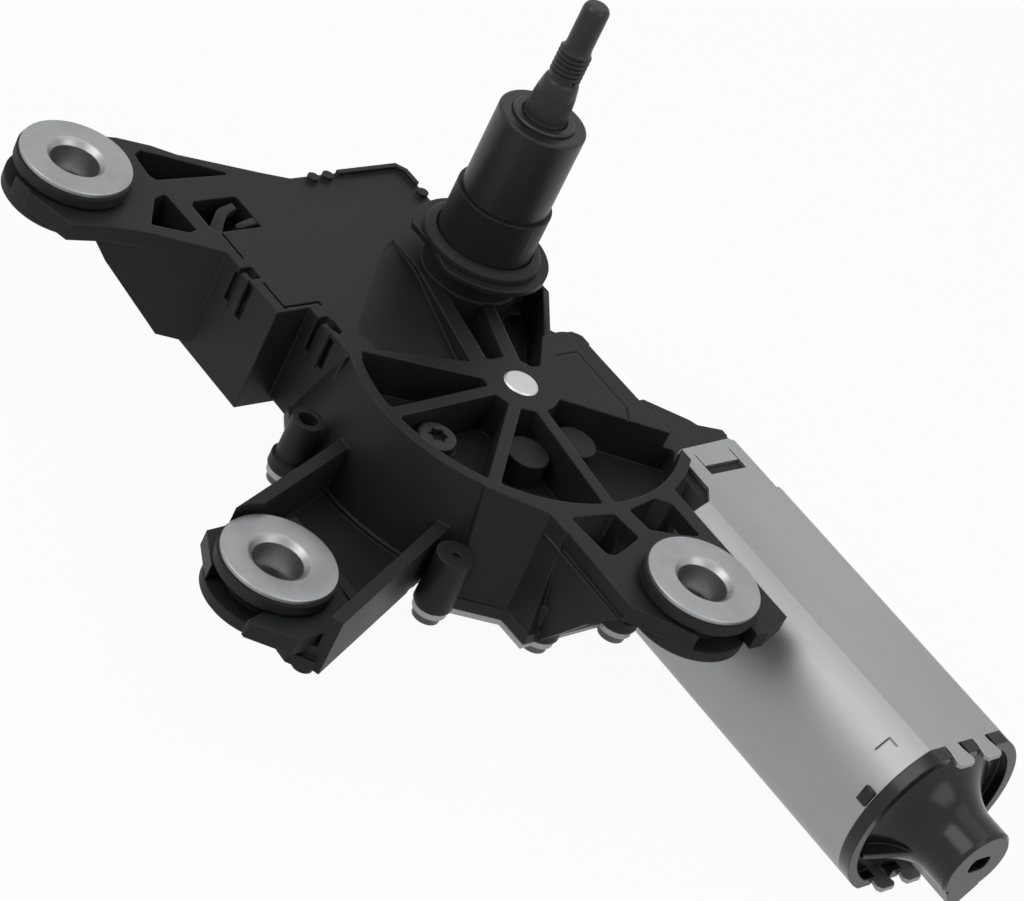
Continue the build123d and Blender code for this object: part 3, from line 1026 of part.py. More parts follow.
with BuildPart() as brushes:
    with Locations((HOLDER_X + 4.6, MOTOR_Y + 12.1, MOTOR_Z), (HOLDER_X + 4.6, MOTOR_Y - 12.1, MOTOR_Z)):
        Box(3.9, 8.0, 4.9)
brushes.part.label = "brushes"
export_step(brushes.part, "parts/brushes.step")

with BuildPart() as brush_springs:
    for direction in (-1, 1):
        for coil in range(3):
            with Locations(Location((HOLDER_X + 4.6, MOTOR_Y + direction * (16.4 + coil), MOTOR_Z), (90, 0, 0))):
                Torus(1.5, 0.3)
        with Locations(Location((HOLDER_X + 4.6, MOTOR_Y + direction * 17.55, MOTOR_Z), (90, 0, 0))):
            Cylinder(0.5, 2.9)
            Cylinder(1.6, 0.3)
        with Locations((HOLDER_X + 4.6, MOTOR_Y + direction * 18.85, MOTOR_Z)):
            Box(3.9, 0.4, 4.9)
brush_springs.part.label = "brush_springs"
export_step(brush_springs.part, "parts/brush_springs.step")

with BuildPart() as chokes:
    for direction in (-1, 1):
        with Locations(Location((HOLDER_X + 1.6, MOTOR_Y + direction * 9.0, MOTOR_Z + 13.5), (0, 90, 0))):
            Cylinder(2.4, 8.0, align=(Align.CENTER, Align.CENTER, Align.MIN))
chokes.part.label = "chokes"
export_step(chokes.part, "parts/chokes.step")

# Electronics in the left box, and the socket of its plug
BOARD_Z = -10.0
with BuildPart() as circuit_board:
    with BuildSketch(Plane.XY.offset(BOARD_Z - 1.6)):
        with BuildLine():
            Polyline((-35.0, 3.0), (-35.0, -43.0), (-27.0, -58.5), (-1.0, -58.5), (-1.0, -24.0), (-18.5, -19.0),
                     (-18.5, 3.0), close=True)
        make_face()
    extrude(amount=1.6)
    for x, y, size_x, size_y, height in ((-25.0, -36.0, 8.0, 8.0, 1.4), (-12.0, -45.0, 10.0, 6.0, 2.2),
                                         (-30.0, -24.0, 5.0, 4.0, 1.2), (-8.0, -34.0, 4.0, 6.0, 1.6)):
        with Locations((x, y, BOARD_Z - 1.6)):
            Box(size_x, size_y, height, align=(Align.CENTER, Align.CENTER, Align.MAX))
circuit_board.part.label = "circuit_board"
export_step(circuit_board.part, "parts/circuit_board.step")

SOCKET_X = -47.5
SOCKET_Y = -13.0
SOCKET_Z = -17.0
with BuildPart() as connector_shell:
    with Locations((SOCKET_X, SOCKET_Y, SOCKET_Z)):
        Box(10.0, 24.0, 10.0, align=(Align.MIN, Align.CENTER, Align.CENTER))
        Box(8.0, 21.0, 7.0, align=(Align.MIN, Align.CENTER, Align.CENTER), mode=Mode.SUBTRACT)
    with Locations(*[(SOCKET_X, SOCKET_Y + 3.8 * number, SOCKET_Z) for number in range(-2, 3)]):
        Box(10.0, 1.6, 0.8, align=(Align.MIN, Align.CENTER, Align.CENTER), mode=Mode.SUBTRACT)
connector_shell.part.label = "connector_shell"
export_step(connector_shell.part, "parts/connector_shell.step")

with BuildPart() as connector_pins:
    with Locations(*[(SOCKET_X + 4.5, SOCKET_Y + 3.8 * number, SOCKET_Z) for number in range(-2, 3)]):
        Box(9.0, 1.6, 0.8, align=(Align.MIN, Align.CENTER, Align.CENTER))
    with Locations(*[(SOCKET_X + 13.5, SOCKET_Y + 3.8 * number, SOCKET_Z - 0.4) for number in range(-2, 3)]):
        Box(0.8, 1.6, BOARD_Z - 1.6 - SOCKET_Z + 0.4, align=(Align.MAX, Align.CENTER, Align.MIN))
connector_pins.part.label = "connector_pins"
export_step(connector_pins.part, "parts/connector_pins.step")

with BuildPart() as park_contacts:
    with BuildSketch(Plane.XY.offset(FLOOR_UNDER_Z - 0.5)):
        with Locations((FLOOR_SCREW_X, FLOOR_SCREW_Y)):
            Rectangle(14.0, 8.0)
            Circle(FLOOR_SCREW_R, mode=Mode.SUBTRACT)
        for finger in (-5.0, 0.0, 5.0):
            with Locations((FLOOR_SCREW_X + finger, FLOOR_SCREW_Y + 4.0)):
                Rectangle(1.8, 7.0, align=(Align.CENTER, Align.MIN))
    extrude(amount=0.5)
    with Locations(*[(FLOOR_SCREW_X + finger, FLOOR_SCREW_Y + 10.1, FLOOR_UNDER_Z) for finger in (-5.0, 0.0, 5.0)]):
        Cylinder(0.8, 4.6, align=(Align.CENTER, Align.CENTER, Align.MAX))
park_contacts.part.label = "park_contacts"
export_step(park_contacts.part, "parts/park_contacts.step")
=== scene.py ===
"""Looks of the wiper motor: its finishes, the pieces made one by one, and the studio."""

import json
import logging
import math
from collections.abc import Callable
from dataclasses import dataclass, field
from enum import Enum

import bpy
from mathutils import Matrix, Vector
from mathutils.bvhtree import BVHTree
from mathutils.interpolate import poly_3d_calc

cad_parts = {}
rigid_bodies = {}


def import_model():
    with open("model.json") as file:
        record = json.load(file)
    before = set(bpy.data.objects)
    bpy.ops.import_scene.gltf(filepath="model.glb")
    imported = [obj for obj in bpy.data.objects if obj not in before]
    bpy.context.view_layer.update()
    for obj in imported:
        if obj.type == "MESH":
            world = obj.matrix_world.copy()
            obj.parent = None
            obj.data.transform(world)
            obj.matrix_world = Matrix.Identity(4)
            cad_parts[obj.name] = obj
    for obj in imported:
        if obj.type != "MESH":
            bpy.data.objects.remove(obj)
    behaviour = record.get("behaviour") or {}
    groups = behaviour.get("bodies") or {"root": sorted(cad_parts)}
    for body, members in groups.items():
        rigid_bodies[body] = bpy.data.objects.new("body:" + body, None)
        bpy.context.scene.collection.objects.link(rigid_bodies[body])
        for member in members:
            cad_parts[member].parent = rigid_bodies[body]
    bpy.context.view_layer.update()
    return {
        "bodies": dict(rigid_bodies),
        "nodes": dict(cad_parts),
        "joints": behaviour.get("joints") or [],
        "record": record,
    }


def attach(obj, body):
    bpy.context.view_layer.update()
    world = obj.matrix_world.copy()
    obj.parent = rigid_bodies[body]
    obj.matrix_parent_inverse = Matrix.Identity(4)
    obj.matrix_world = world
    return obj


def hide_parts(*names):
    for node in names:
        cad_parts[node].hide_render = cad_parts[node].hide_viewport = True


LOG = logging.getLogger("wiper_motor")

MM = 0.001
# Angles of the shading: edges of new pieces, edges of copied solids, and how alike two surfaces must be
SHARP_DEGREES = 30.0
CREASE_DEGREES = 9.6
SAME_SURFACE_DEGREES = 12.0
# Distances in millimetres: doubles that are merged, and how far a copy may lie from its solid
MERGE_GAP = 0.001
SURFACE_GAP = 0.05
# Share of the way from a corner to the middle of its face where the solid's normal is read
CORNER_INSET = 0.03
LATHE_SIDES = 96

Colour = tuple[float, float, float]
Point = tuple[float, float]
Place = tuple[float, float, float]


class Surface(Enum):
    """The finishes that the wiper motor's pieces have."""

    HOUSING_PLASTIC = "housing_plastic"
    CAP_PLASTIC = "cap_plastic"
    SLEEVE_PLASTIC = "sleeve_plastic"
    ZINC_SHEET = "zinc_sheet"
    PRESSED_STEEL = "pressed_steel"
    PIN_STEEL = "pin_steel"
    TURNED_STEEL = "turned_steel"
    BLACK_STEEL = "black_steel"
    DARK_STEEL = "dark_steel"
    SINTERED = "sintered"
    RUBBER = "rubber"
    GEAR_PLASTIC = "gear_plastic"
    COPPER = "copper"
    FERRITE = "ferrite"
    BOARD = "board"


class Shade:
    """A node socket that Python expressions can work on."""

    def __init__(self, tree: bpy.types.NodeTree, socket: bpy.types.NodeSocket) -> None:
        """Wrap a socket.

        Args:
            tree: The node tree that the socket is in.
            socket: The output socket.
        """
        self.tree = tree
        self.socket = socket

    def _math(self, operation: str, *values: "Shade | float") -> "Shade":
        """Add a Math node for an operation on sockets or numbers."""
        return make_node(self.tree, "ShaderNodeMath", {"operation": operation}, dict(enumerate(values)))

    def __add__(self, other: "Shade | float") -> "Shade":
        """Sum of two values."""
        return self._math("ADD", self, other)

    def __radd__(self, other: float) -> "Shade":
        """Sum with a number on the left."""
        return self._math("ADD", other, self)

    def __sub__(self, other: "Shade | float") -> "Shade":
        """Difference of two values."""
        return self._math("SUBTRACT", self, other)

    def __rsub__(self, other: float) -> "Shade":
        """Difference with a number on the left."""
        return self._math("SUBTRACT", other, self)

    def __mul__(self, other: "Shade | float") -> "Shade":
        """Product of two values."""
        return self._math("MULTIPLY", self, other)

    def __rmul__(self, other: float) -> "Shade":
        """Product with a number on the left."""
        return self._math("MULTIPLY", other, self)

    def clamped(self) -> "Shade":
        """The value held between 0 and 1."""
        return make_node(self.tree, "ShaderNodeClamp", {}, {0: self})

    def step(self, low: float, high: float) -> "Shade":
        """Smooth step from 0 at low to 1 at high.

        Args:
            low: The value that gives 0.
            high: The value that gives 1.

        Returns:
            The stepped value.
        """
        settings = {"interpolation_type": "SMOOTHSTEP"}
        return make_node(self.tree, "ShaderNodeMapRange", settings, {0: self, 1: low, 2: high, 3: 0.0, 4: 1.0})


def make_node(
    tree: bpy.types.NodeTree, kind: str, settings: dict, inputs: dict, output: int | str = 0
) -> Shade:
    """Add a node, set it up and feed its sockets.

    Args:
        tree: The node tree.
        kind: The node's type.
        settings: Properties of the node, set first.
        inputs: Values or links, keyed by socket name or number.
        output: The socket that is returned.

    Returns:
        The wrapped output socket.
    """
    node = tree.nodes.new(kind)
    for name, value in settings.items():
        setattr(node, name, value)
    for key, value in inputs.items():
        socket = node.inputs[key]
        if isinstance(value, Shade):
            tree.links.new(value.socket, socket)
        else:
            socket.default_value = value
    return Shade(tree, node.outputs[output])


def blend_colour(
    tree: bpy.types.NodeTree, factor: "Shade | float", first: "Shade | Colour", second: "Shade | Colour"
) -> Shade:
    """Mix two colours.

    Args:
        tree: The node tree.
        factor: How much of the second colour shows.
        first: The first colour.
        second: The second colour.

    Returns:
        The mixed colour.
    """
    values = {0: factor}
    for key, colour in ((6, first), (7, second)):
        values[key] = colour if isinstance(colour, Shade) else (*colour, 1.0)
    return make_node(tree, "ShaderNodeMix", {"data_type": "RGBA"}, values, 2)


BEVEL_SAMPLES = 6
SPECK_SCALE = 2.3
# Where each mask starts and where it is full
EDGE_RANGE = (0.015, 0.16)
PATCH_RANGE = (0.38, 0.66)
SPECK_RANGE = (0.62, 0.75)
PATCH_SHARE = 0.8
EDGE_FLOOR = 0.35
DUST_COLOUR = (0.35, 0.35, 0.34)


@dataclass(frozen=True)
class Finish:
    """A finish whose colour, gloss and relief follow a few noises.

    Attributes:
        name: The material's name.
        colour: The main colour.
        worn: The colour of its paler or darker patches.
        metallic: 1 for bare metal.
        roughness: The main roughness.
        spread: How far the roughness wanders.
        specular: Specular level of a surface that isn't metal.
        patch: Size of the patches, in metres.
        grain: Size of the grain, in metres.
        relief: Height of the grain, in metres.
        stretch: Scale of the pattern along X, Y and Z; under 1 draws it out.
        edge: Radius that rounds the edges in the shading, in metres.
        rub_and_highlight: The colour of rubbed edges.
        rub_and_highlight_share: How much of that colour the edges show.
        dust: Share of a fine pale dust.
    """

    name: str
    colour: Colour
    worn: Colour
    metallic: float = 0.0
    roughness: float = 0.5
    spread: float = 0.1
    specular: float = 0.5
    patch: float = 0.012
    grain: float = 0.0006
    relief: float = 0.00001
    stretch: tuple[float, float, float] = (1.0, 1.0, 1.0)
    edge: float = 0.0004
    # rub: The colour of the edges, partly rubbed wear and partly a painted highlight along them.
    rub_and_highlight: Colour = (0.1, 0.1, 0.1)
    # rubbed: How much of that colour the edges show, as wear and as a painted edge highlight.
    rub_and_highlight_share: float = 0.0
    dust: float = 0.0

    def build(self) -> bpy.types.Material:
        """Make the material.

        Returns:
            The finished material.
        """
        material = bpy.data.materials.new(self.name)
        material.use_nodes = True
        tree = material.node_tree
        tree.nodes.clear()
        place = make_node(tree, "ShaderNodeTexCoord", {}, {}, "Object")
        place = make_node(tree, "ShaderNodeMapping", {}, {0: place, 3: self.stretch})
        patches = self._noise(tree, place, 1.0 / self.patch, 3.0)
        grain = self._noise(tree, place, 1.0 / self.grain, 2.0)
        specks = self._noise(tree, place, SPECK_SCALE / self.grain, 1.0)
        rounded = make_node(tree, "ShaderNodeBevel", {"samples": BEVEL_SAMPLES}, {0: self.edge})
        facing = make_node(tree, "ShaderNodeNewGeometry", {}, {}, "Normal")
        along = make_node(tree, "ShaderNodeVectorMath", {"operation": "DOT_PRODUCT"}, {0: rounded, 1: facing}, "Value")
        # Edge mask from the rounded normal: it lightens the edges as rubbed wear and as a painted highlight along them
        edges = (1.0 - along).step(*EDGE_RANGE) * (EDGE_FLOOR + patches)
        colour = blend_colour(tree, patches.step(*PATCH_RANGE) * PATCH_SHARE, self.colour, self.worn)
        # The edges take the lighter edge colour, which is partly wear and partly painted highlight
        colour = blend_colour(tree, (edges * self.rub_and_highlight_share).clamped(), colour, self.rub_and_highlight)
        colour = blend_colour(tree, specks.step(*SPECK_RANGE) * self.dust, colour, DUST_COLOUR)
        roughness = (patches - 0.5) * (2.0 * self.spread) + (grain - 0.5) * self.spread + self.roughness
        relief = make_node(
            tree, "ShaderNodeBump", {}, {"Strength": 1.0, "Distance": self.relief, "Height": grain, "Normal": rounded}
        )
        shader = make_node(
            tree,
            "ShaderNodeBsdfPrincipled",
            {},
            {
                "Base Color": colour,
                "Metallic": self.metallic,
                "Roughness": roughness.clamped(),
                "Specular IOR Level": self.specular,
                "Normal": relief,
            },
        )
        tree.links.new(shader.socket, tree.nodes.new("ShaderNodeOutputMaterial").inputs["Surface"])
        return material

    def _noise(self, tree: bpy.types.NodeTree, place: Shade, scale: float, detail: float) -> Shade:
        """Noise of a scale on a place."""
        return make_node(tree, "ShaderNodeTexNoise", {}, {"Vector": place, "Scale": scale, "Detail": detail})


# Each finish's edge colour lightens its edges, partly as rubbed wear and partly as a painted highlight
FINISHES: dict[Surface, Finish] = {
    Surface.HOUSING_PLASTIC: Finish(
        "housing_plastic", (0.0105, 0.0112, 0.0112), (0.0140, 0.0147, 0.0145), roughness=0.48, spread=0.07,
        specular=0.17, patch=0.018, grain=0.0005, relief=0.000012, edge=0.0006,
        rub_and_highlight=(0.045, 0.047, 0.047), rub_and_highlight_share=0.6, dust=0.02,
    ),
    Surface.CAP_PLASTIC: Finish(
        "cap_plastic", (0.0085, 0.0089, 0.0089), (0.0115, 0.0119, 0.0119), roughness=0.22, spread=0.05,
        specular=0.3, patch=0.012, grain=0.0006, relief=0.000006, edge=0.0005,
        rub_and_highlight=(0.05, 0.052, 0.052), rub_and_highlight_share=0.35,
    ),
    Surface.SLEEVE_PLASTIC: Finish(
        "sleeve_plastic", (0.0105, 0.0108, 0.0108), (0.0135, 0.0138, 0.0138), roughness=0.4, spread=0.05,
        specular=0.3, patch=0.02, grain=0.0006, relief=0.000005, stretch=(1.0, 1.0, 0.3), edge=0.0006,
        rub_and_highlight=(0.04, 0.042, 0.042), rub_and_highlight_share=0.5,
    ),
    Surface.ZINC_SHEET: Finish(
        "zinc_sheet", (0.335, 0.34, 0.342), (0.30, 0.305, 0.307), metallic=0.8, roughness=0.5, spread=0.05,
        patch=0.022, grain=0.0009, relief=0.000004, stretch=(0.25, 1.0, 1.0), edge=0.0004,
        rub_and_highlight=(0.5, 0.5, 0.5), rub_and_highlight_share=0.5,
    ),
    Surface.PRESSED_STEEL: Finish(
        "pressed_steel", (0.33, 0.335, 0.34), (0.28, 0.285, 0.29), metallic=0.85, roughness=0.38, spread=0.06,
        patch=0.009, grain=0.0006, relief=0.000003, edge=0.0003,
        rub_and_highlight=(0.6, 0.6, 0.6), rub_and_highlight_share=0.7,
    ),
    Surface.PIN_STEEL: Finish(
        "pin_steel", (0.60, 0.605, 0.61), (0.54, 0.545, 0.55), metallic=0.8, roughness=0.42, spread=0.06,
        patch=0.006, grain=0.0005, relief=0.000003, edge=0.0004,
    ),
    Surface.TURNED_STEEL: Finish(
        "turned_steel", (0.42, 0.42, 0.42), (0.32, 0.32, 0.32), metallic=0.9, roughness=0.32, spread=0.08,
        patch=0.006, grain=0.0005, relief=0.000004, stretch=(0.3, 0.3, 3.0), edge=0.0003,
    ),
    Surface.BLACK_STEEL: Finish(
        "black_steel", (0.0155, 0.0158, 0.0160), (0.021, 0.0213, 0.0215), metallic=0.25, roughness=0.42,
        spread=0.08, specular=0.4, patch=0.006, grain=0.0004, relief=0.000006, edge=0.0002,
        rub_and_highlight=(0.06, 0.06, 0.06), rub_and_highlight_share=0.6,
    ),
    Surface.DARK_STEEL: Finish(
        "dark_steel", (0.10, 0.10, 0.10), (0.07, 0.07, 0.07), metallic=0.8, roughness=0.42, spread=0.1,
        patch=0.005, grain=0.0005, relief=0.000004, edge=0.0003, rub_and_highlight=(0.2, 0.2, 0.2), rub_and_highlight_share=0.5,
    ),
    Surface.SINTERED: Finish(
        "sintered", (0.15, 0.13, 0.10), (0.10, 0.09, 0.07), metallic=0.8, roughness=0.5, spread=0.1,
        patch=0.004, grain=0.0004, relief=0.00001, edge=0.0002,
    ),
    Surface.RUBBER: Finish(
        "rubber", (0.0085, 0.0085, 0.0085), (0.012, 0.012, 0.012), roughness=0.62, spread=0.08,
        specular=0.25, patch=0.008, grain=0.0008, relief=0.00001, edge=0.0006, dust=0.03,
    ),
    Surface.GEAR_PLASTIC: Finish(
        "gear_plastic", (0.70, 0.67, 0.58), (0.62, 0.58, 0.48), roughness=0.42, spread=0.08,
        patch=0.01, grain=0.0009, relief=0.000006, edge=0.0004,
    ),
    Surface.COPPER: Finish(
        "copper", (0.62, 0.30, 0.16), (0.48, 0.20, 0.10), metallic=0.85, roughness=0.35, spread=0.1,
        patch=0.004, grain=0.0005, relief=0.00001, edge=0.0002,
    ),
    Surface.FERRITE: Finish(
        "ferrite", (0.07, 0.07, 0.072), (0.05, 0.05, 0.05), roughness=0.6, spread=0.08,
        patch=0.006, grain=0.0005, relief=0.00001, edge=0.0003,
    ),
    Surface.BOARD: Finish(
        "board", (0.02, 0.12, 0.045), (0.03, 0.16, 0.06), roughness=0.35, spread=0.08,
        patch=0.004, grain=0.0006, relief=0.000006, edge=0.0002,
    ),
}

NODE_FINISHES: dict[Surface, tuple[str, ...]] = {
    Surface.HOUSING_PLASTIC: ("gear_housing", "connector_shell"),
    Surface.CAP_PLASTIC: ("end_cap", "brush_holder"),
    Surface.SLEEVE_PLASTIC: ("spindle_sleeve",),
    Surface.ZINC_SHEET: ("motor_tube", "back_cover"),
    Surface.PRESSED_STEEL: ("steel_bush_left", "steel_bush_front", "steel_bush_right"),
    Surface.PIN_STEEL: ("wheel_pin",),
    Surface.TURNED_STEEL: ("armature_shaft", "thrust_plugs", "crank_pin", "link_rivet"),
    Surface.BLACK_STEEL: ("output_spindle", "bearing_tube", "floor_screw"),
    Surface.DARK_STEEL: (
        "cover_screws", "wheel_clip", "wheel_washer", "link_clip", "spindle_circlip",
        "bearing_washer", "bush_base_left", "bush_base_front", "bush_base_right", "laminations",
        "toothed_rod", "link_plate", "pinion", "brush_springs",
    ),
    Surface.SINTERED: ("gear_bearing", "front_bearing", "rear_bearing"),
    Surface.RUBBER: (
        "grommet_left", "grommet_front", "grommet_right", "collar_seal", "cover_gasket", "spindle_seal_ring",
    ),
    Surface.GEAR_PLASTIC: ("worm_wheel",),
    Surface.COPPER: ("windings", "commutator", "connector_pins", "park_contacts"),
    Surface.FERRITE: ("magnets", "brushes", "chokes"),
    Surface.BOARD: ("circuit_board",),
}


@dataclass
class Bench:
    """Models one piece with mesh operators; its sizes are in millimetres.

    Attributes:
        name: The piece's name.
        piece: The object that is being modelled.
    """

    name: str
    piece: bpy.types.Object = field(init=False, default=None)

    def _take(self) -> None:
        """Name the new primitive and go on to edit it."""
        self.piece = bpy.context.object
        self.piece.name = self.name
        self.piece.data.name = self.name
        bpy.ops.object.transform_apply(location=True, rotation=True, scale=True)
        bpy.ops.object.mode_set(mode="EDIT")
        bpy.ops.mesh.select_mode(type="VERT")
        bpy.ops.mesh.select_all(action="SELECT")

    def _ring(self, count: int, radius: float, centre: Vector, filled: bool) -> None:
        """Add a circle, bare or filled, and go on to edit it."""
        bpy.ops.object.select_all(action="DESELECT")
        bpy.ops.mesh.primitive_circle_add(
            vertices=count, radius=radius * MM, location=centre * MM, fill_type="NGON" if filled else "NOTHING"
        )
        self._take()

    def lathe(
        self, profile: list[Point], centre: Point = (0.0, 0.0), count: int = LATHE_SIDES, solid: bool = True
    ) -> None:
        """Turn a profile about an upright axis by extruding and scaling a circle.

        Args:
            profile: Radius and height of each ring, in order.
            centre: The axis, seen from above.
            count: How many sides each ring has.
            solid: Whether the two ends are filled; else the profile closes on itself.
        """
        radius, height = profile[0]
        self._ring(count, radius, Vector((*centre, height)), solid)
        path = profile[1:] if solid else [*profile[1:], profile[0]]
        for next_radius, next_height in path:
            bpy.ops.mesh.extrude_region_move(
                TRANSFORM_OT_translate={"value": (0.0, 0.0, (next_height - height) * MM)}
            )
            ratio = next_radius / radius
            bpy.ops.transform.resize(
                value=(ratio, ratio, 1.0), center_override=(centre[0] * MM, centre[1] * MM, next_height * MM)
            )
            radius, height = next_radius, next_height

    def prism(self, outline: list[Point], low: float, high: float) -> None:
        """Raise an outline, its corners moved one by one from a circle's.

        Args:
            outline: The corners seen from above, in order.
            low: Height of the lower face.
            high: Height of the upper face.
        """
        self._ring(len(outline), 1.0, Vector((0.0, 0.0, low)), True)
        self.move_corners([Vector((x, y, low)) for x, y in outline])
        bpy.ops.mesh.select_all(action="SELECT")
        bpy.ops.mesh.extrude_region_move(TRANSFORM_OT_translate={"value": (0.0, 0.0, (high - low) * MM)})

    def move_corners(self, corners: list[Vector]) -> None:
        """Move the vertices of the piece to given places.

        Args:
            corners: The places, in the order of the vertices.
        """
        for number, corner in enumerate(corners):
            here = self.piece.data.vertices[number].co.copy()
            bpy.ops.object.mode_set(mode="OBJECT")
            for vertex in self.piece.data.vertices:
                vertex.select = vertex.index == number
            for part in (*self.piece.data.edges, *self.piece.data.polygons):
                part.select = False
            bpy.ops.object.mode_set(mode="EDIT")
            bpy.ops.transform.translate(value=corner * MM - here)

    def block(self, centre: Place, size: Place, tilt: float = 0.0) -> None:
        """Add a block, turned about the X axis.

        Args:
            centre: Its middle.
            size: Its sizes before it is turned.
            tilt: How far it is turned, in degrees.
        """
        bpy.ops.object.select_all(action="DESELECT")
        bpy.ops.mesh.primitive_cube_add(
            size=1.0, location=Vector(centre) * MM, rotation=(math.radians(tilt), 0.0, 0.0), scale=Vector(size) * MM
        )
        self._take()

    def pick(self, test: Callable[[Vector], bool]) -> None:
        """Select the vertices whose place passes a test.

        Args:
            test: Says whether a place, in millimetres, is wanted.
        """
        bpy.ops.mesh.select_all(action="DESELECT")
        bpy.ops.object.mode_set(mode="OBJECT")
        for vertex in self.piece.data.vertices:
            vertex.select = test(vertex.co / MM)
        bpy.ops.object.mode_set(mode="EDIT")
        bpy.ops.mesh.select_mode(type="VERT")

    def close(self) -> None:
        """Merge doubles, turn the faces outwards and leave edit mode."""
        bpy.ops.mesh.select_all(action="SELECT")
        bpy.ops.mesh.remove_doubles(threshold=MERGE_GAP * MM)
        bpy.ops.mesh.normals_make_consistent(inside=False)
        bpy.ops.object.mode_set(mode="OBJECT")

    def apply(self, kind: str, **settings: object) -> None:
        """Add a modifier and apply it.

        Args:
            kind: The modifier's type.
            **settings: Its properties.
        """
        bpy.ops.object.select_all(action="DESELECT")
        bpy.context.view_layer.objects.active = self.piece
        self.piece.select_set(True)
        modifier = self.piece.modifiers.new(kind.lower(), kind)
        for key, value in settings.items():
            setattr(modifier, key, value)
        bpy.ops.object.modifier_apply(modifier=modifier.name)

    def soften(self, width: float) -> None:
        """Bevel the sharp edges.

        Args:
            width: Width of the bevel.
        """
        self.apply(
            "BEVEL", width=width * MM, segments=2, limit_method="ANGLE", angle_limit=math.radians(SHARP_DEGREES),
            harden_normals=False,
        )

    def combine(self, tool: "Bench", operation: str = "DIFFERENCE") -> None:
        """Cut another closed shape out of the piece, or join it on.

        Args:
            tool: The other shape, which is used up.
            operation: DIFFERENCE or UNION.
        """
        self.apply("BOOLEAN", operation=operation, object=tool.piece, solver="EXACT")
        bpy.data.objects.remove(tool.piece)

    def finish(
        self, body: str, slot: str, material: bpy.types.Material, replaces: tuple[str, ...] = (),
        original: bpy.types.Object | None = None,
    ) -> None:
        """Smooth the piece, dress it and put it on its body.

        Args:
            body: The body that it rides on.
            slot: The record's material slot; not used.
            material: Its finish.
            replaces: CAD nodes that it stands for.
            original: The CAD node whose normals it keeps where its surface is unchanged.
        """
        bpy.ops.object.select_all(action="DESELECT")
        bpy.context.view_layer.objects.active = self.piece
        self.piece.select_set(True)
        bpy.ops.object.shade_smooth_by_angle(angle=math.radians(CREASE_DEGREES if original else SHARP_DEGREES))
        if original:
            self._borrow_normals(original)
        self.piece.data.materials.clear()
        self.piece.data.materials.append(material)
        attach(self.piece, body)
        for node in replaces:
            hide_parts(node)
        LOG.info("%s: %d faces on %s", self.name, len(self.piece.data.polygons), body)

    def _borrow_normals(self, original: bpy.types.Object) -> None:
        """Shade the piece as the carried-over solid wherever its surface is unchanged.

        Args:
            original: The CAD node, whose corners hold the true normals.
        """
        source = original.data
        corners = [vertex.co for vertex in source.vertices]
        tree = BVHTree.FromPolygons(corners, [tuple(face.vertices) for face in source.polygons])
        true_normals = [corner.vector.copy() for corner in source.corner_normals]
        mesh = self.piece.data
        normals = [corner.vector.copy() for corner in mesh.corner_normals]
        least = math.cos(math.radians(SAME_SURFACE_DEGREES))
        for polygon in mesh.polygons:
            for corner in polygon.loop_indices:
                place = mesh.vertices[mesh.loops[corner].vertex_index].co.lerp(polygon.center, CORNER_INSET)
                hit, direction, number, gap = tree.find_nearest(place)
                if gap > SURFACE_GAP * MM or direction.dot(polygon.normal) < least:
                    continue
                face = source.polygons[number]
                weights = poly_3d_calc([corners[index] for index in face.vertices], hit)
                blend = Vector((0.0, 0.0, 0.0))
                for weight, index in zip(weights, face.loop_indices):
                    blend += weight * true_normals[index]
                normals[corner] = blend.normalized()
        mesh.normals_split_custom_set(normals)

    @classmethod
    def copy_of(cls, original: bpy.types.Object, name: str) -> "Bench":
        """Start from a merged copy of a carried-over solid.

        Args:
            original: The CAD node.
            name: The copy's name.

        Returns:
            A bench with the copy on it.
        """
        bench = cls(name)
        bench.piece = bpy.data.objects.new(name, original.data.copy())
        bpy.context.scene.collection.objects.link(bench.piece)
        bpy.ops.object.select_all(action="DESELECT")
        bpy.context.view_layer.objects.active = bench.piece
        bench.piece.select_set(True)
        bpy.ops.object.mode_set(mode="EDIT")
        bpy.ops.mesh.select_all(action="SELECT")
        bpy.ops.mesh.remove_doubles(threshold=MERGE_GAP * MM)
        bpy.ops.object.mode_set(mode="OBJECT")
        bpy.ops.mesh.customdata_custom_splitnormals_clear()
        return bench


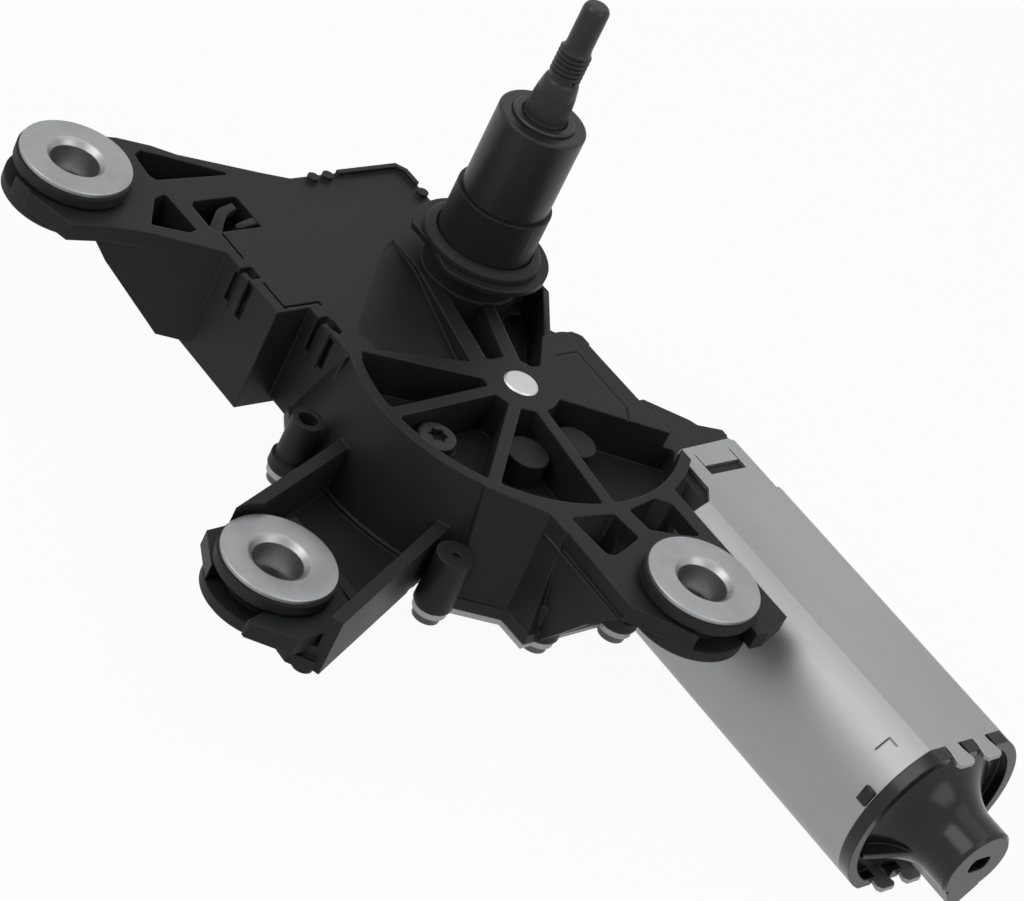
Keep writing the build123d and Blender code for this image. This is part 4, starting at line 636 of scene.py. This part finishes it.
@dataclass
class Spindle:
    """The black output spindle with its knurled taper and its thread.

    Attributes:
        shaft: Radius and height of the rings below the taper.
        taper: Radius and height of the taper's foot and top.
        tip: Radius and height of the rings above the taper.
        knurl_depth: How much smaller every second vertex of the taper is.
        knurl_margin: How far the knurl runs past the taper's ends.
        thread_crest: Radius of the thread's crest.
        thread_root: Radius inside which the ridge starts.
        thread_flat: Half the height of the ridge at its crest.
        thread_foot: Half the height of the ridge at its root.
        thread_start: Height of the ridge's first turn.
        thread_pitch: Height of one turn.
        thread_turns: Number of turns.
    """

    shaft: list[Point] = field(default_factory=lambda: [
        (3.0, -35.9), (3.4, -35.5), (3.4, -33.1), (4.5, -33.1), (4.5, -19.1), (4.0, -19.1), (4.0, -18.3),
        (5.45, -18.3), (5.45, 39.8), (4.6, 39.8), (4.6, 41.6), (5.45, 41.6), (5.45, 47.4), (5.3, 47.7),
    ])
    taper: list[Point] = field(default_factory=lambda: [(5.3, 48.2), (5.42, 48.6), (5.0, 52.8), (4.86, 54.2)])
    tip: list[Point] = field(default_factory=lambda: [
        (4.72, 55.0), (4.45, 56.6), (4.2, 57.6), (3.9, 58.05), (3.45, 58.3), (3.45, 66.7), (3.3, 67.3),
        (3.25, 67.9), (3.25, 77.3), (3.13, 78.0), (2.8, 78.6), (2.35, 78.93), (1.6, 79.0),
    ])
    knurl_depth: float = 0.962
    knurl_margin: float = 0.1
    thread_crest: float = 4.0
    thread_root: float = 3.3
    thread_flat: float = 0.14
    thread_foot: float = 0.56
    thread_start: float = 58.9
    thread_pitch: float = 1.25
    thread_turns: int = 6

    def build(self, material: bpy.types.Material) -> None:
        """Model the shaft and the ridge of the thread.

        Args:
            material: The spindle's finish.
        """
        bench = Bench("black_spindle")
        bench.lathe([*self.shaft, *self.taper, *self.tip])
        low, high = self.taper[1][1] - self.knurl_margin, self.taper[-1][1] + self.knurl_margin
        sector = 2.0 * math.pi / LATHE_SIDES

        def in_groove(place: Vector) -> bool:
            """Whether a place is on every second line of the taper."""
            turn = math.atan2(place.x, place.y) / sector
            return low < place.z < high and round(turn) % 2 == 0

        bench.pick(in_groove)
        bpy.ops.transform.resize(value=(self.knurl_depth, self.knurl_depth, 1.0), center_override=(0.0, 0.0, 0.05))
        bench.close()
        bench.finish("spindle", "bright_steel", material, ("output_spindle",))
        ridge = Bench("spindle_thread")
        ridge._ring(4, 1.0, Vector((self.thread_crest, 0.0, self.thread_start)), True)
        section = (
            (self.thread_root, -self.thread_foot), (self.thread_crest, -self.thread_flat),
            (self.thread_crest, self.thread_flat), (self.thread_root, self.thread_foot),
        )
        ridge.move_corners([Vector((radius, 0.0, self.thread_start + height)) for radius, height in section])
        bpy.ops.mesh.select_all(action="SELECT")
        bpy.ops.mesh.delete(type="ONLY_FACE")
        bpy.ops.object.mode_set(mode="OBJECT")
        ridge.apply(
            "SCREW", axis="Z", angle=2.0 * math.pi, screw_offset=self.thread_pitch * MM, iterations=self.thread_turns,
            steps=64, render_steps=64, use_merge_vertices=False,
        )
        bpy.ops.object.mode_set(mode="EDIT")
        bpy.ops.mesh.select_all(action="SELECT")
        bpy.ops.mesh.fill_holes(sides=4)
        ridge.close()
        ridge.finish("spindle", "bright_steel", material)


@dataclass
class Bushes:
    """The three flanged steel bushes, pressed smoothly into their bores.

    Attributes:
        places: Side, middle and height of the flange of each bush.
        profile: Radius and height of the rings, from the flange's height.
    """

    places: tuple[tuple[str, float, float, float], ...] = (
        ("left", -49.4, -86.4, 4.6), ("front", 62.7, -96.1, -15.0), ("right", 109.3, -15.3, 4.6),
    )
    profile: list[Point] = field(default_factory=lambda: [
        (7.65, 0.0), (7.45, -0.04), (7.15, -0.2), (6.8, -0.56), (6.4, -1.0), (6.0, -1.45), (6.0, -12.3),
        (7.2, -12.3), (7.2, -1.3), (13.5, -1.3), (13.65, -1.15), (13.65, -0.28), (13.5, -0.06), (13.2, 0.0),
    ])

    def build(self, material: bpy.types.Material) -> None:
        """Model the bushes.

        Args:
            material: Their finish.
        """
        for side, x, y, height in self.places:
            bench = Bench("pressed_bush_" + side)
            bench.lathe([(radius, height + z) for radius, z in self.profile], (x, y), solid=False)
            bench.close()
            bench.finish("housing", "bright_steel", material, ("steel_bush_" + side,))


@dataclass(frozen=True)
class Slab:
    """An upright slab, added or cut out.

    Attributes:
        name: What it is.
        low: Height of its lower face.
        high: Height of its upper face.
        outline: Its corners seen from above.
    """

    name: str
    low: float
    high: float
    outline: list[Point]

    def raised(self) -> Bench:
        """The slab as a closed mesh on a bench."""
        bench = Bench(self.name)
        bench.prism(self.outline, self.low, self.high)
        bench.close()
        return bench


@dataclass
class Housing:
    """The moulded housing with its snap clips and the wells of its windows.

    Attributes:
        corner_block: The block between the box and the round case.
        cuts: The slots beside the clips, the cells and the lowered places.
        bars: The straps, walls, ribs, hook and tongue on the housing.
        bar_edge: Width of the bevel on their edges.
        low_boss: Middle, radius, cut height and old height of the boss behind the platform.
        screw_top: Height of the screw's tip in that boss.
        tunnel_slope: Middle, sizes and slope of the cut along the worm tunnel's upper edge.
        collar_ring: Radius and height of the corners of the space under the collar's flange.
        wells: Outlines of the windows in the left arm.
        well_depth: Depth of the wells' floors.
        well_wall: Thickness of the wells' walls.
        deck_under: Height of the arm plate's underside.
    """

    frame: dict
    corner_block: Slab = Slab(
        "corner_block", -27.2, -0.02, [(4.4, -47.5), (4.5, -52.9), (21.2, -52.9), (22.6, -50.0), (14.0, -46.0)]
    )
    cuts: tuple[Slab, ...] = (
        Slab("front_slot_left", -9.9, -1.6, [(-12.3, -63.0), (-10.3, -63.0), (-10.3, -61.2), (-12.3, -61.2)]),
        Slab("front_slot_right", -10.8, -0.9, [(-7.0, -63.0), (-5.0, -63.0), (-5.0, -61.2), (-7.0, -61.2)]),
        Slab(
            "corner_notch", -3.4, 1.0,
            [(8.0, -50.0), (9.6, -49.4), (13.6, -49.6), (14.4, -51.2), (13.6, -51.4), (10.0, -53.4), (8.0, -53.4)],
        ),
        Slab("corner_slot_left", -9.6, -1.0, [(8.0, -53.4), (9.7, -53.4), (9.7, -51.2), (8.0, -51.2)]),
        Slab("corner_slot_right", -10.0, -1.2, [(13.5, -53.4), (15.3, -53.4), (15.3, -51.2), (13.5, -51.2)]),
        Slab("arm_wall_notch", -24.6, -19.0, [(77.5, -76.5), (81.9, -86.6), (84.6, -85.4), (80.2, -75.3)]),
        Slab(
            "case_behind_collar", -12.4, -9.0,
            [(-2.0, 17.5), (10.7, 18.5), (25.2, 7.2), (25.2, 16.2), (22.0, 36.0), (0.0, 36.0)],
        ),
        Slab(
            "case_behind_platform", -12.4, 0.6,
            [(24.0, 16.05), (46.0, 16.05), (46.0, 44.0), (18.0, 44.0), (22.0, 36.0)],
        ),
        Slab(
            "platform_corner", -12.4, 0.6, [(24.0, 13.2), (25.4, 14.4), (26.1, 15.3), (27.3, 16.2), (24.0, 17.0)],
        ),
        Slab(
            "cell_between_ribs", -11.0, 0.02,
            [(29.0, -11.8), (29.3, -16.9), (5.6, -11.3), (8.1, -9.7), (10.3, -7.3), (11.9, -4.3), (13.5, -5.1)],
        ),
        Slab(
            "cell_under_collar", -11.0, 0.02,
            [(31.3, -7.9), (34.0, -6.5), (34.2, -3.6), (24.6, 4.9), (10.4, 15.9), (8.6, 11.0), (9.9, 8.0), (12.0, 4.2),
             (12.6, 0.6), (12.4, -1.5)],
        ),
    )
    bars: tuple[Slab, ...] = (
        Slab("front_strap", -10.9, -0.5, [(-10.2, -62.95), (-7.1, -62.95), (-7.1, -61.3), (-10.2, -61.3)]),
        Slab("corner_strap", -10.9, -0.3, [(9.8, -53.25), (13.4, -53.25), (13.4, -51.6), (9.8, -51.6)]),
        Slab("rear_wall", -10.7, -0.05, [(25.4, 4.8), (9.9, 16.8), (10.9, 18.1), (25.4, 7.0)]),
        Slab("back_wall", -10.7, -0.05, [(9.7, 16.7), (10.9, 18.1), (-7.0, 17.4), (-7.0, 15.6)]),
        Slab("tube_catch", -8.0, -3.7, [(71.5, 21.8), (71.5, 33.4), (74.1, 33.4), (74.1, 21.8)]),
        Slab("corner_rib", -14.0, -0.2, [(20.2, -54.2), (21.4, -54.2), (21.6, -51.8), (20.2, -51.8)]),
        Slab(
            "hook_arm", -2.6, -0.15,
            [(-25.6, -61.9), (-31.3, -55.8), (-32.2, -54.1), (-33.0, -50.6), (-33.4, -49.8), (-30.9, -49.9),
             (-30.1, -52.4), (-29.2, -54.0), (-26.4, -56.8), (-23.3, -59.5)],
        ),
        Slab(
            "deck_tongue", -2.6, -0.15,
            [(-27.7, -47.0), (-26.2, -53.0), (-25.5, -54.2), (-24.6, -53.9), (-24.3, -52.6), (-24.9, -50.0),
             (-25.2, -47.0)],
        ),
    )
    bar_edge: float = 0.3
    low_boss: tuple[float, float, float, float, float] = (7.5, 39.0, 5.4, -24.0, -12.0)
    screw_top: float = -24.8
    tunnel_slope: tuple[Place, Place, float] = ((29.2, 38.34, -13.06), (34.4, 16.0, 10.0), -45.0)
    collar_ring: list[Point] = field(default_factory=lambda: [(12.15, 0.0), (15.6, 0.0), (15.6, 6.45), (12.15, 6.45)])
    wells: tuple[list[Point], ...] = (
        [(-43.4, -44.4), (-42.5, -45.2), (-43.5, -65.4), (-45.5, -66.4), (-53.0, -65.6), (-54.4, -63.0),
         (-52.4, -59.4)],
        [(-35.0, -47.4), (-35.0, -60.2), (-33.6, -61.6), (-25.5, -61.6), (-23.6, -59.5), (-23.6, -47.4)],
        [(-38.6, -66.1), (-25.4, -65.6), (-24.7, -68.2), (-29.0, -76.6), (-37.4, -70.0)],
    )
    well_depth: float = -10.0
    well_wall: float = 1.2
    deck_under: float = -4.3

    def build(self, material: bpy.types.Material) -> None:
        """Cut the housing's copy and add the pieces on it.

        Args:
            material: The housing's plastic.
        """
        solid = self.frame["nodes"]["gear_housing"]
        bench = Bench.copy_of(solid, "moulded_housing")
        bench.combine(self.corner_block.raised(), "UNION")
        for cut in self.cuts:
            bench.combine(cut.raised())
        bench.combine(self._boss_cutter(self.low_boss[3], 48))
        cutter = Bench("tunnel_cutter")
        cutter.block(*self.tunnel_slope)
        cutter.close()
        bench.combine(cutter)
        cutter = Bench("collar_cutter")
        cutter.lathe(self.collar_ring, solid=False)
        cutter.close()
        bench.combine(cutter)
        bench.finish("housing", "black_plastic", material, ("gear_housing",), solid)
        self._add_clips(material)
        self._add_wells(material)

    def fit_screws(self, material: bpy.types.Material) -> None:
        """Keep the screw in the low boss below the boss's top.

        Args:
            material: The screws' finish.
        """
        solid = self.frame["nodes"]["cover_screws"]
        bench = Bench.copy_of(solid, "fitted_screws")
        bench.combine(self._boss_cutter(self.screw_top, 32))
        bench.finish("housing", "dark_steel", material, ("cover_screws",), solid)

    def _boss_cutter(self, low: float, count: int) -> Bench:
        """A round cutter over the low boss.

        Args:
            low: Height that it cuts down to.
            count: How many sides it has.

        Returns:
            The cutter on its bench.
        """
        x, y, radius, _, high = self.low_boss
        cutter = Bench("boss_cutter")
        cutter.lathe([(radius, low), (radius, high)], (x, y), count)
        cutter.close()
        return cutter

    def _add_clips(self, material: bpy.types.Material) -> None:
        """Add the straps, the hook, the tongue and the small rib."""
        for bar in self.bars:
            bench = bar.raised()
            bench.soften(self.bar_edge)
            bench.finish("housing", "black_plastic", material)

    def _add_wells(self, material: bpy.types.Material) -> None:
        """Close each window from below with a cup."""
        for number, outline in enumerate(self.wells, start=1):
            bench = Bench(f"window_well_{number}")
            bench.prism(outline, self.well_depth, self.deck_under)
            bpy.ops.mesh.select_all(action="SELECT")
            bpy.ops.mesh.normals_make_consistent(inside=False)
            bench.pick(lambda place: place.z > self.deck_under - 0.1)
            bpy.ops.mesh.delete(type="ONLY_FACE")
            bpy.ops.object.mode_set(mode="OBJECT")
            bench.apply("SOLIDIFY", thickness=self.well_wall * MM, offset=1.0, use_even_offset=True, use_rim=True)
            bench.finish("housing", "black_plastic", material)


@dataclass
class MotorTube:
    """The motor's steel tube with its lanced mark, and the cap's small lug.

    Attributes:
        tilt: Slope of the sheet at the mark, in degrees.
        mark: Middle and sizes of the two slits of the mark.
        lug: Middle, sizes and slope of the lug on the cap's rim.
        lug_edge: Width of the bevel on the lug's edges.
    """

    frame: dict
    tilt: float = 46.9
    mark: tuple[tuple[Place, Place], ...] = (
        ((156.0, 8.45, -7.45), (0.4, 4.3, 1.2)), ((157.3, 9.8, -6.0), (2.7, 0.4, 1.2)),
    )
    lug: tuple[Place, Place, float] = ((162.3, 2.9, -16.2), (3.0, 4.2, 1.7), 75.0)
    lug_edge: float = 0.4

    def build(self, sheet: bpy.types.Material, plastic: bpy.types.Material) -> None:
        """Cut the mark and add the lug.

        Args:
            sheet: The tube's finish.
            plastic: The cap's plastic.
        """
        solid = self.frame["nodes"]["motor_tube"]
        bench = Bench.copy_of(solid, "drawn_tube")
        for centre, size in self.mark:
            cutter = Bench("mark_cutter")
            cutter.block(centre, size, self.tilt)
            cutter.close()
            bench.combine(cutter)
        bench.finish("housing", "zinc_steel", sheet, ("motor_tube",), solid)
        lug = Bench("cap_lug")
        lug.block(*self.lug)
        lug.close()
        lug.soften(self.lug_edge)
        lug.finish("housing", "black_plastic", plastic)


@dataclass(frozen=True)
class Lamp:
    """A square soft lamp.

    Attributes:
        name: The lamp's name.
        place: Where it hangs, in metres.
        size: The length of its side, in metres.
        power: Its power, in watts.
    """

    name: str
    place: Place
    size: float
    power: float


@dataclass
class Studio:
    """Floor, lights and camera.

    Attributes:
        camera_place: The camera's place, in metres.
        camera_right: The image's right, as a direction.
        camera_up: The image's up, as a direction.
        lens: Focal length, in millimetres.
        sensor: Width of the sensor, in millimetres.
        floor_z: Height of the floor, in metres.
        floor_size: Length of the floor's side, in metres.
        floor_glow: How much of the floor is plain white to the camera; the rest shows the shadow.
        daylight: Strength of the world's light on the object.
        lamps: The lamps.
        aim: The point that the lamps face.
    """

    camera_place: Vector = field(default_factory=lambda: Vector((0.4708, -0.6090, 0.4824)))
    camera_right: Vector = field(default_factory=lambda: Vector((0.572, 0.727, 0.381)))
    camera_up: Vector = field(default_factory=lambda: Vector((-0.665, 0.138, 0.734)))
    lens: float = 133.6
    sensor: float = 36.0
    floor_z: float = -0.0485
    floor_size: float = 12.0
    floor_glow: float = 0.95
    daylight: float = 0.35
    lamps: tuple[Lamp, ...] = (
        Lamp("key_lamp", (-0.35, -1.0, 1.1), 1.0, 8.6),
        Lamp("top_lamp", (0.0, 0.35, 1.4), 1.0, 2.4),
        Lamp("side_lamp", (1.1, 0.1, 0.9), 0.8, 3.4),
    )
    aim: Vector = field(default_factory=lambda: Vector((0.04, -0.02, -0.01)))

    def add_camera(self) -> None:
        """Place the camera at the photograph's view."""
        data = bpy.data.cameras.new("photo_camera")
        data.lens = self.lens
        data.sensor_width = self.sensor
        data.sensor_fit = "HORIZONTAL"
        data.clip_start = 0.01
        camera = bpy.data.objects.new("photo_camera", data)
        bpy.context.scene.collection.objects.link(camera)
        right = self.camera_right.normalized()
        back = right.cross(self.camera_up).normalized()
        up = back.cross(right)
        turn = Matrix((right, up, back)).transposed().to_4x4()
        camera.matrix_world = Matrix.Translation(self.camera_place) @ turn
        bpy.context.scene.camera = camera

    def add_floor(self) -> None:
        """Lay a plain floor that is white to the camera but for a faint shadow."""
        bpy.ops.object.select_all(action="DESELECT")
        bpy.ops.mesh.primitive_plane_add(size=self.floor_size, location=(0.0, 0.0, self.floor_z))
        floor = bpy.context.object
        floor.name = "studio_floor"
        material = bpy.data.materials.new("studio_floor")
        material.use_nodes = True
        tree = material.node_tree
        tree.nodes.clear()
        pale = make_node(
            tree, "ShaderNodeBsdfPrincipled", {}, {"Base Color": (0.8, 0.8, 0.8, 1.0), "Roughness": 0.9}
        )
        white = make_node(tree, "ShaderNodeEmission", {}, {"Color": (1.0, 1.0, 1.0, 1.0), "Strength": 1.0})
        seen = make_node(tree, "ShaderNodeMixShader", {}, {0: self._seen(tree) * self.floor_glow, 1: pale, 2: white})
        tree.links.new(seen.socket, tree.nodes.new("ShaderNodeOutputMaterial").inputs["Surface"])
        floor.data.materials.append(material)

    def _seen(self, tree: bpy.types.NodeTree) -> Shade:
        """Whether a ray comes from the camera, a gloss or through glass."""
        rays = [
            make_node(tree, "ShaderNodeLightPath", {}, {}, name)
            for name in ("Is Camera Ray", "Is Glossy Ray", "Is Transmission Ray")
        ]
        return (rays[0] + rays[1] + rays[2]).clamped()

    def add_lights(self) -> None:
        """Add soft lamps and a pale world."""
        for lamp in self.lamps:
            data = bpy.data.lights.new(lamp.name, "AREA")
            data.size = lamp.size
            data.energy = lamp.power
            light = bpy.data.objects.new(lamp.name, data)
            bpy.context.scene.collection.objects.link(light)
            light.location = lamp.place
            light.rotation_euler = (self.aim - Vector(lamp.place)).to_track_quat("-Z", "Y").to_euler()
        world = bpy.data.worlds.new("studio_world")
        world.use_nodes = True
        tree = world.node_tree
        background = tree.nodes["Background"]
        background.inputs["Color"].default_value = (1.0, 1.0, 1.0, 1.0)
        strength = self._seen(tree) * (1.0 - self.daylight) + self.daylight
        tree.links.new(strength.socket, background.inputs["Strength"])
        bpy.context.scene.world = world

    def build(self) -> None:
        """Set up the whole studio."""
        self.add_camera()
        self.add_floor()
        self.add_lights()
        bpy.context.scene.view_settings.view_transform = "Standard"


@dataclass
class Wardrobe:
    """Keeps the finishes and gives the carried-over solids theirs.

    Attributes:
        materials: The finished materials.
    """

    frame: dict
    materials: dict[Surface, bpy.types.Material] = field(init=False, default_factory=dict)

    def dress(self) -> None:
        """Put a finish on every node of the frame."""
        for surface, nodes in NODE_FINISHES.items():
            material = FINISHES[surface].build()
            self.materials[surface] = material
            for name in nodes:
                piece = self.frame["nodes"][name]
                piece.data.materials.clear()
                piece.data.materials.append(material)
            LOG.info("%s on %d nodes", surface.value, len(nodes))


def main() -> None:
    """Build the wiper motor's looks."""
    logging.basicConfig(level=logging.INFO)
    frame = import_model()
    Studio().build()
    wardrobe = Wardrobe(frame)
    wardrobe.dress()
    finishes = wardrobe.materials
    Spindle().build(finishes[Surface.BLACK_STEEL])
    Bushes().build(finishes[Surface.PRESSED_STEEL])
    housing = Housing(frame)
    housing.build(finishes[Surface.HOUSING_PLASTIC])
    housing.fit_screws(finishes[Surface.DARK_STEEL])
    MotorTube(frame).build(finishes[Surface.ZINC_SHEET], finishes[Surface.CAP_PLASTIC])


if __name__ == "__main__":
    main()
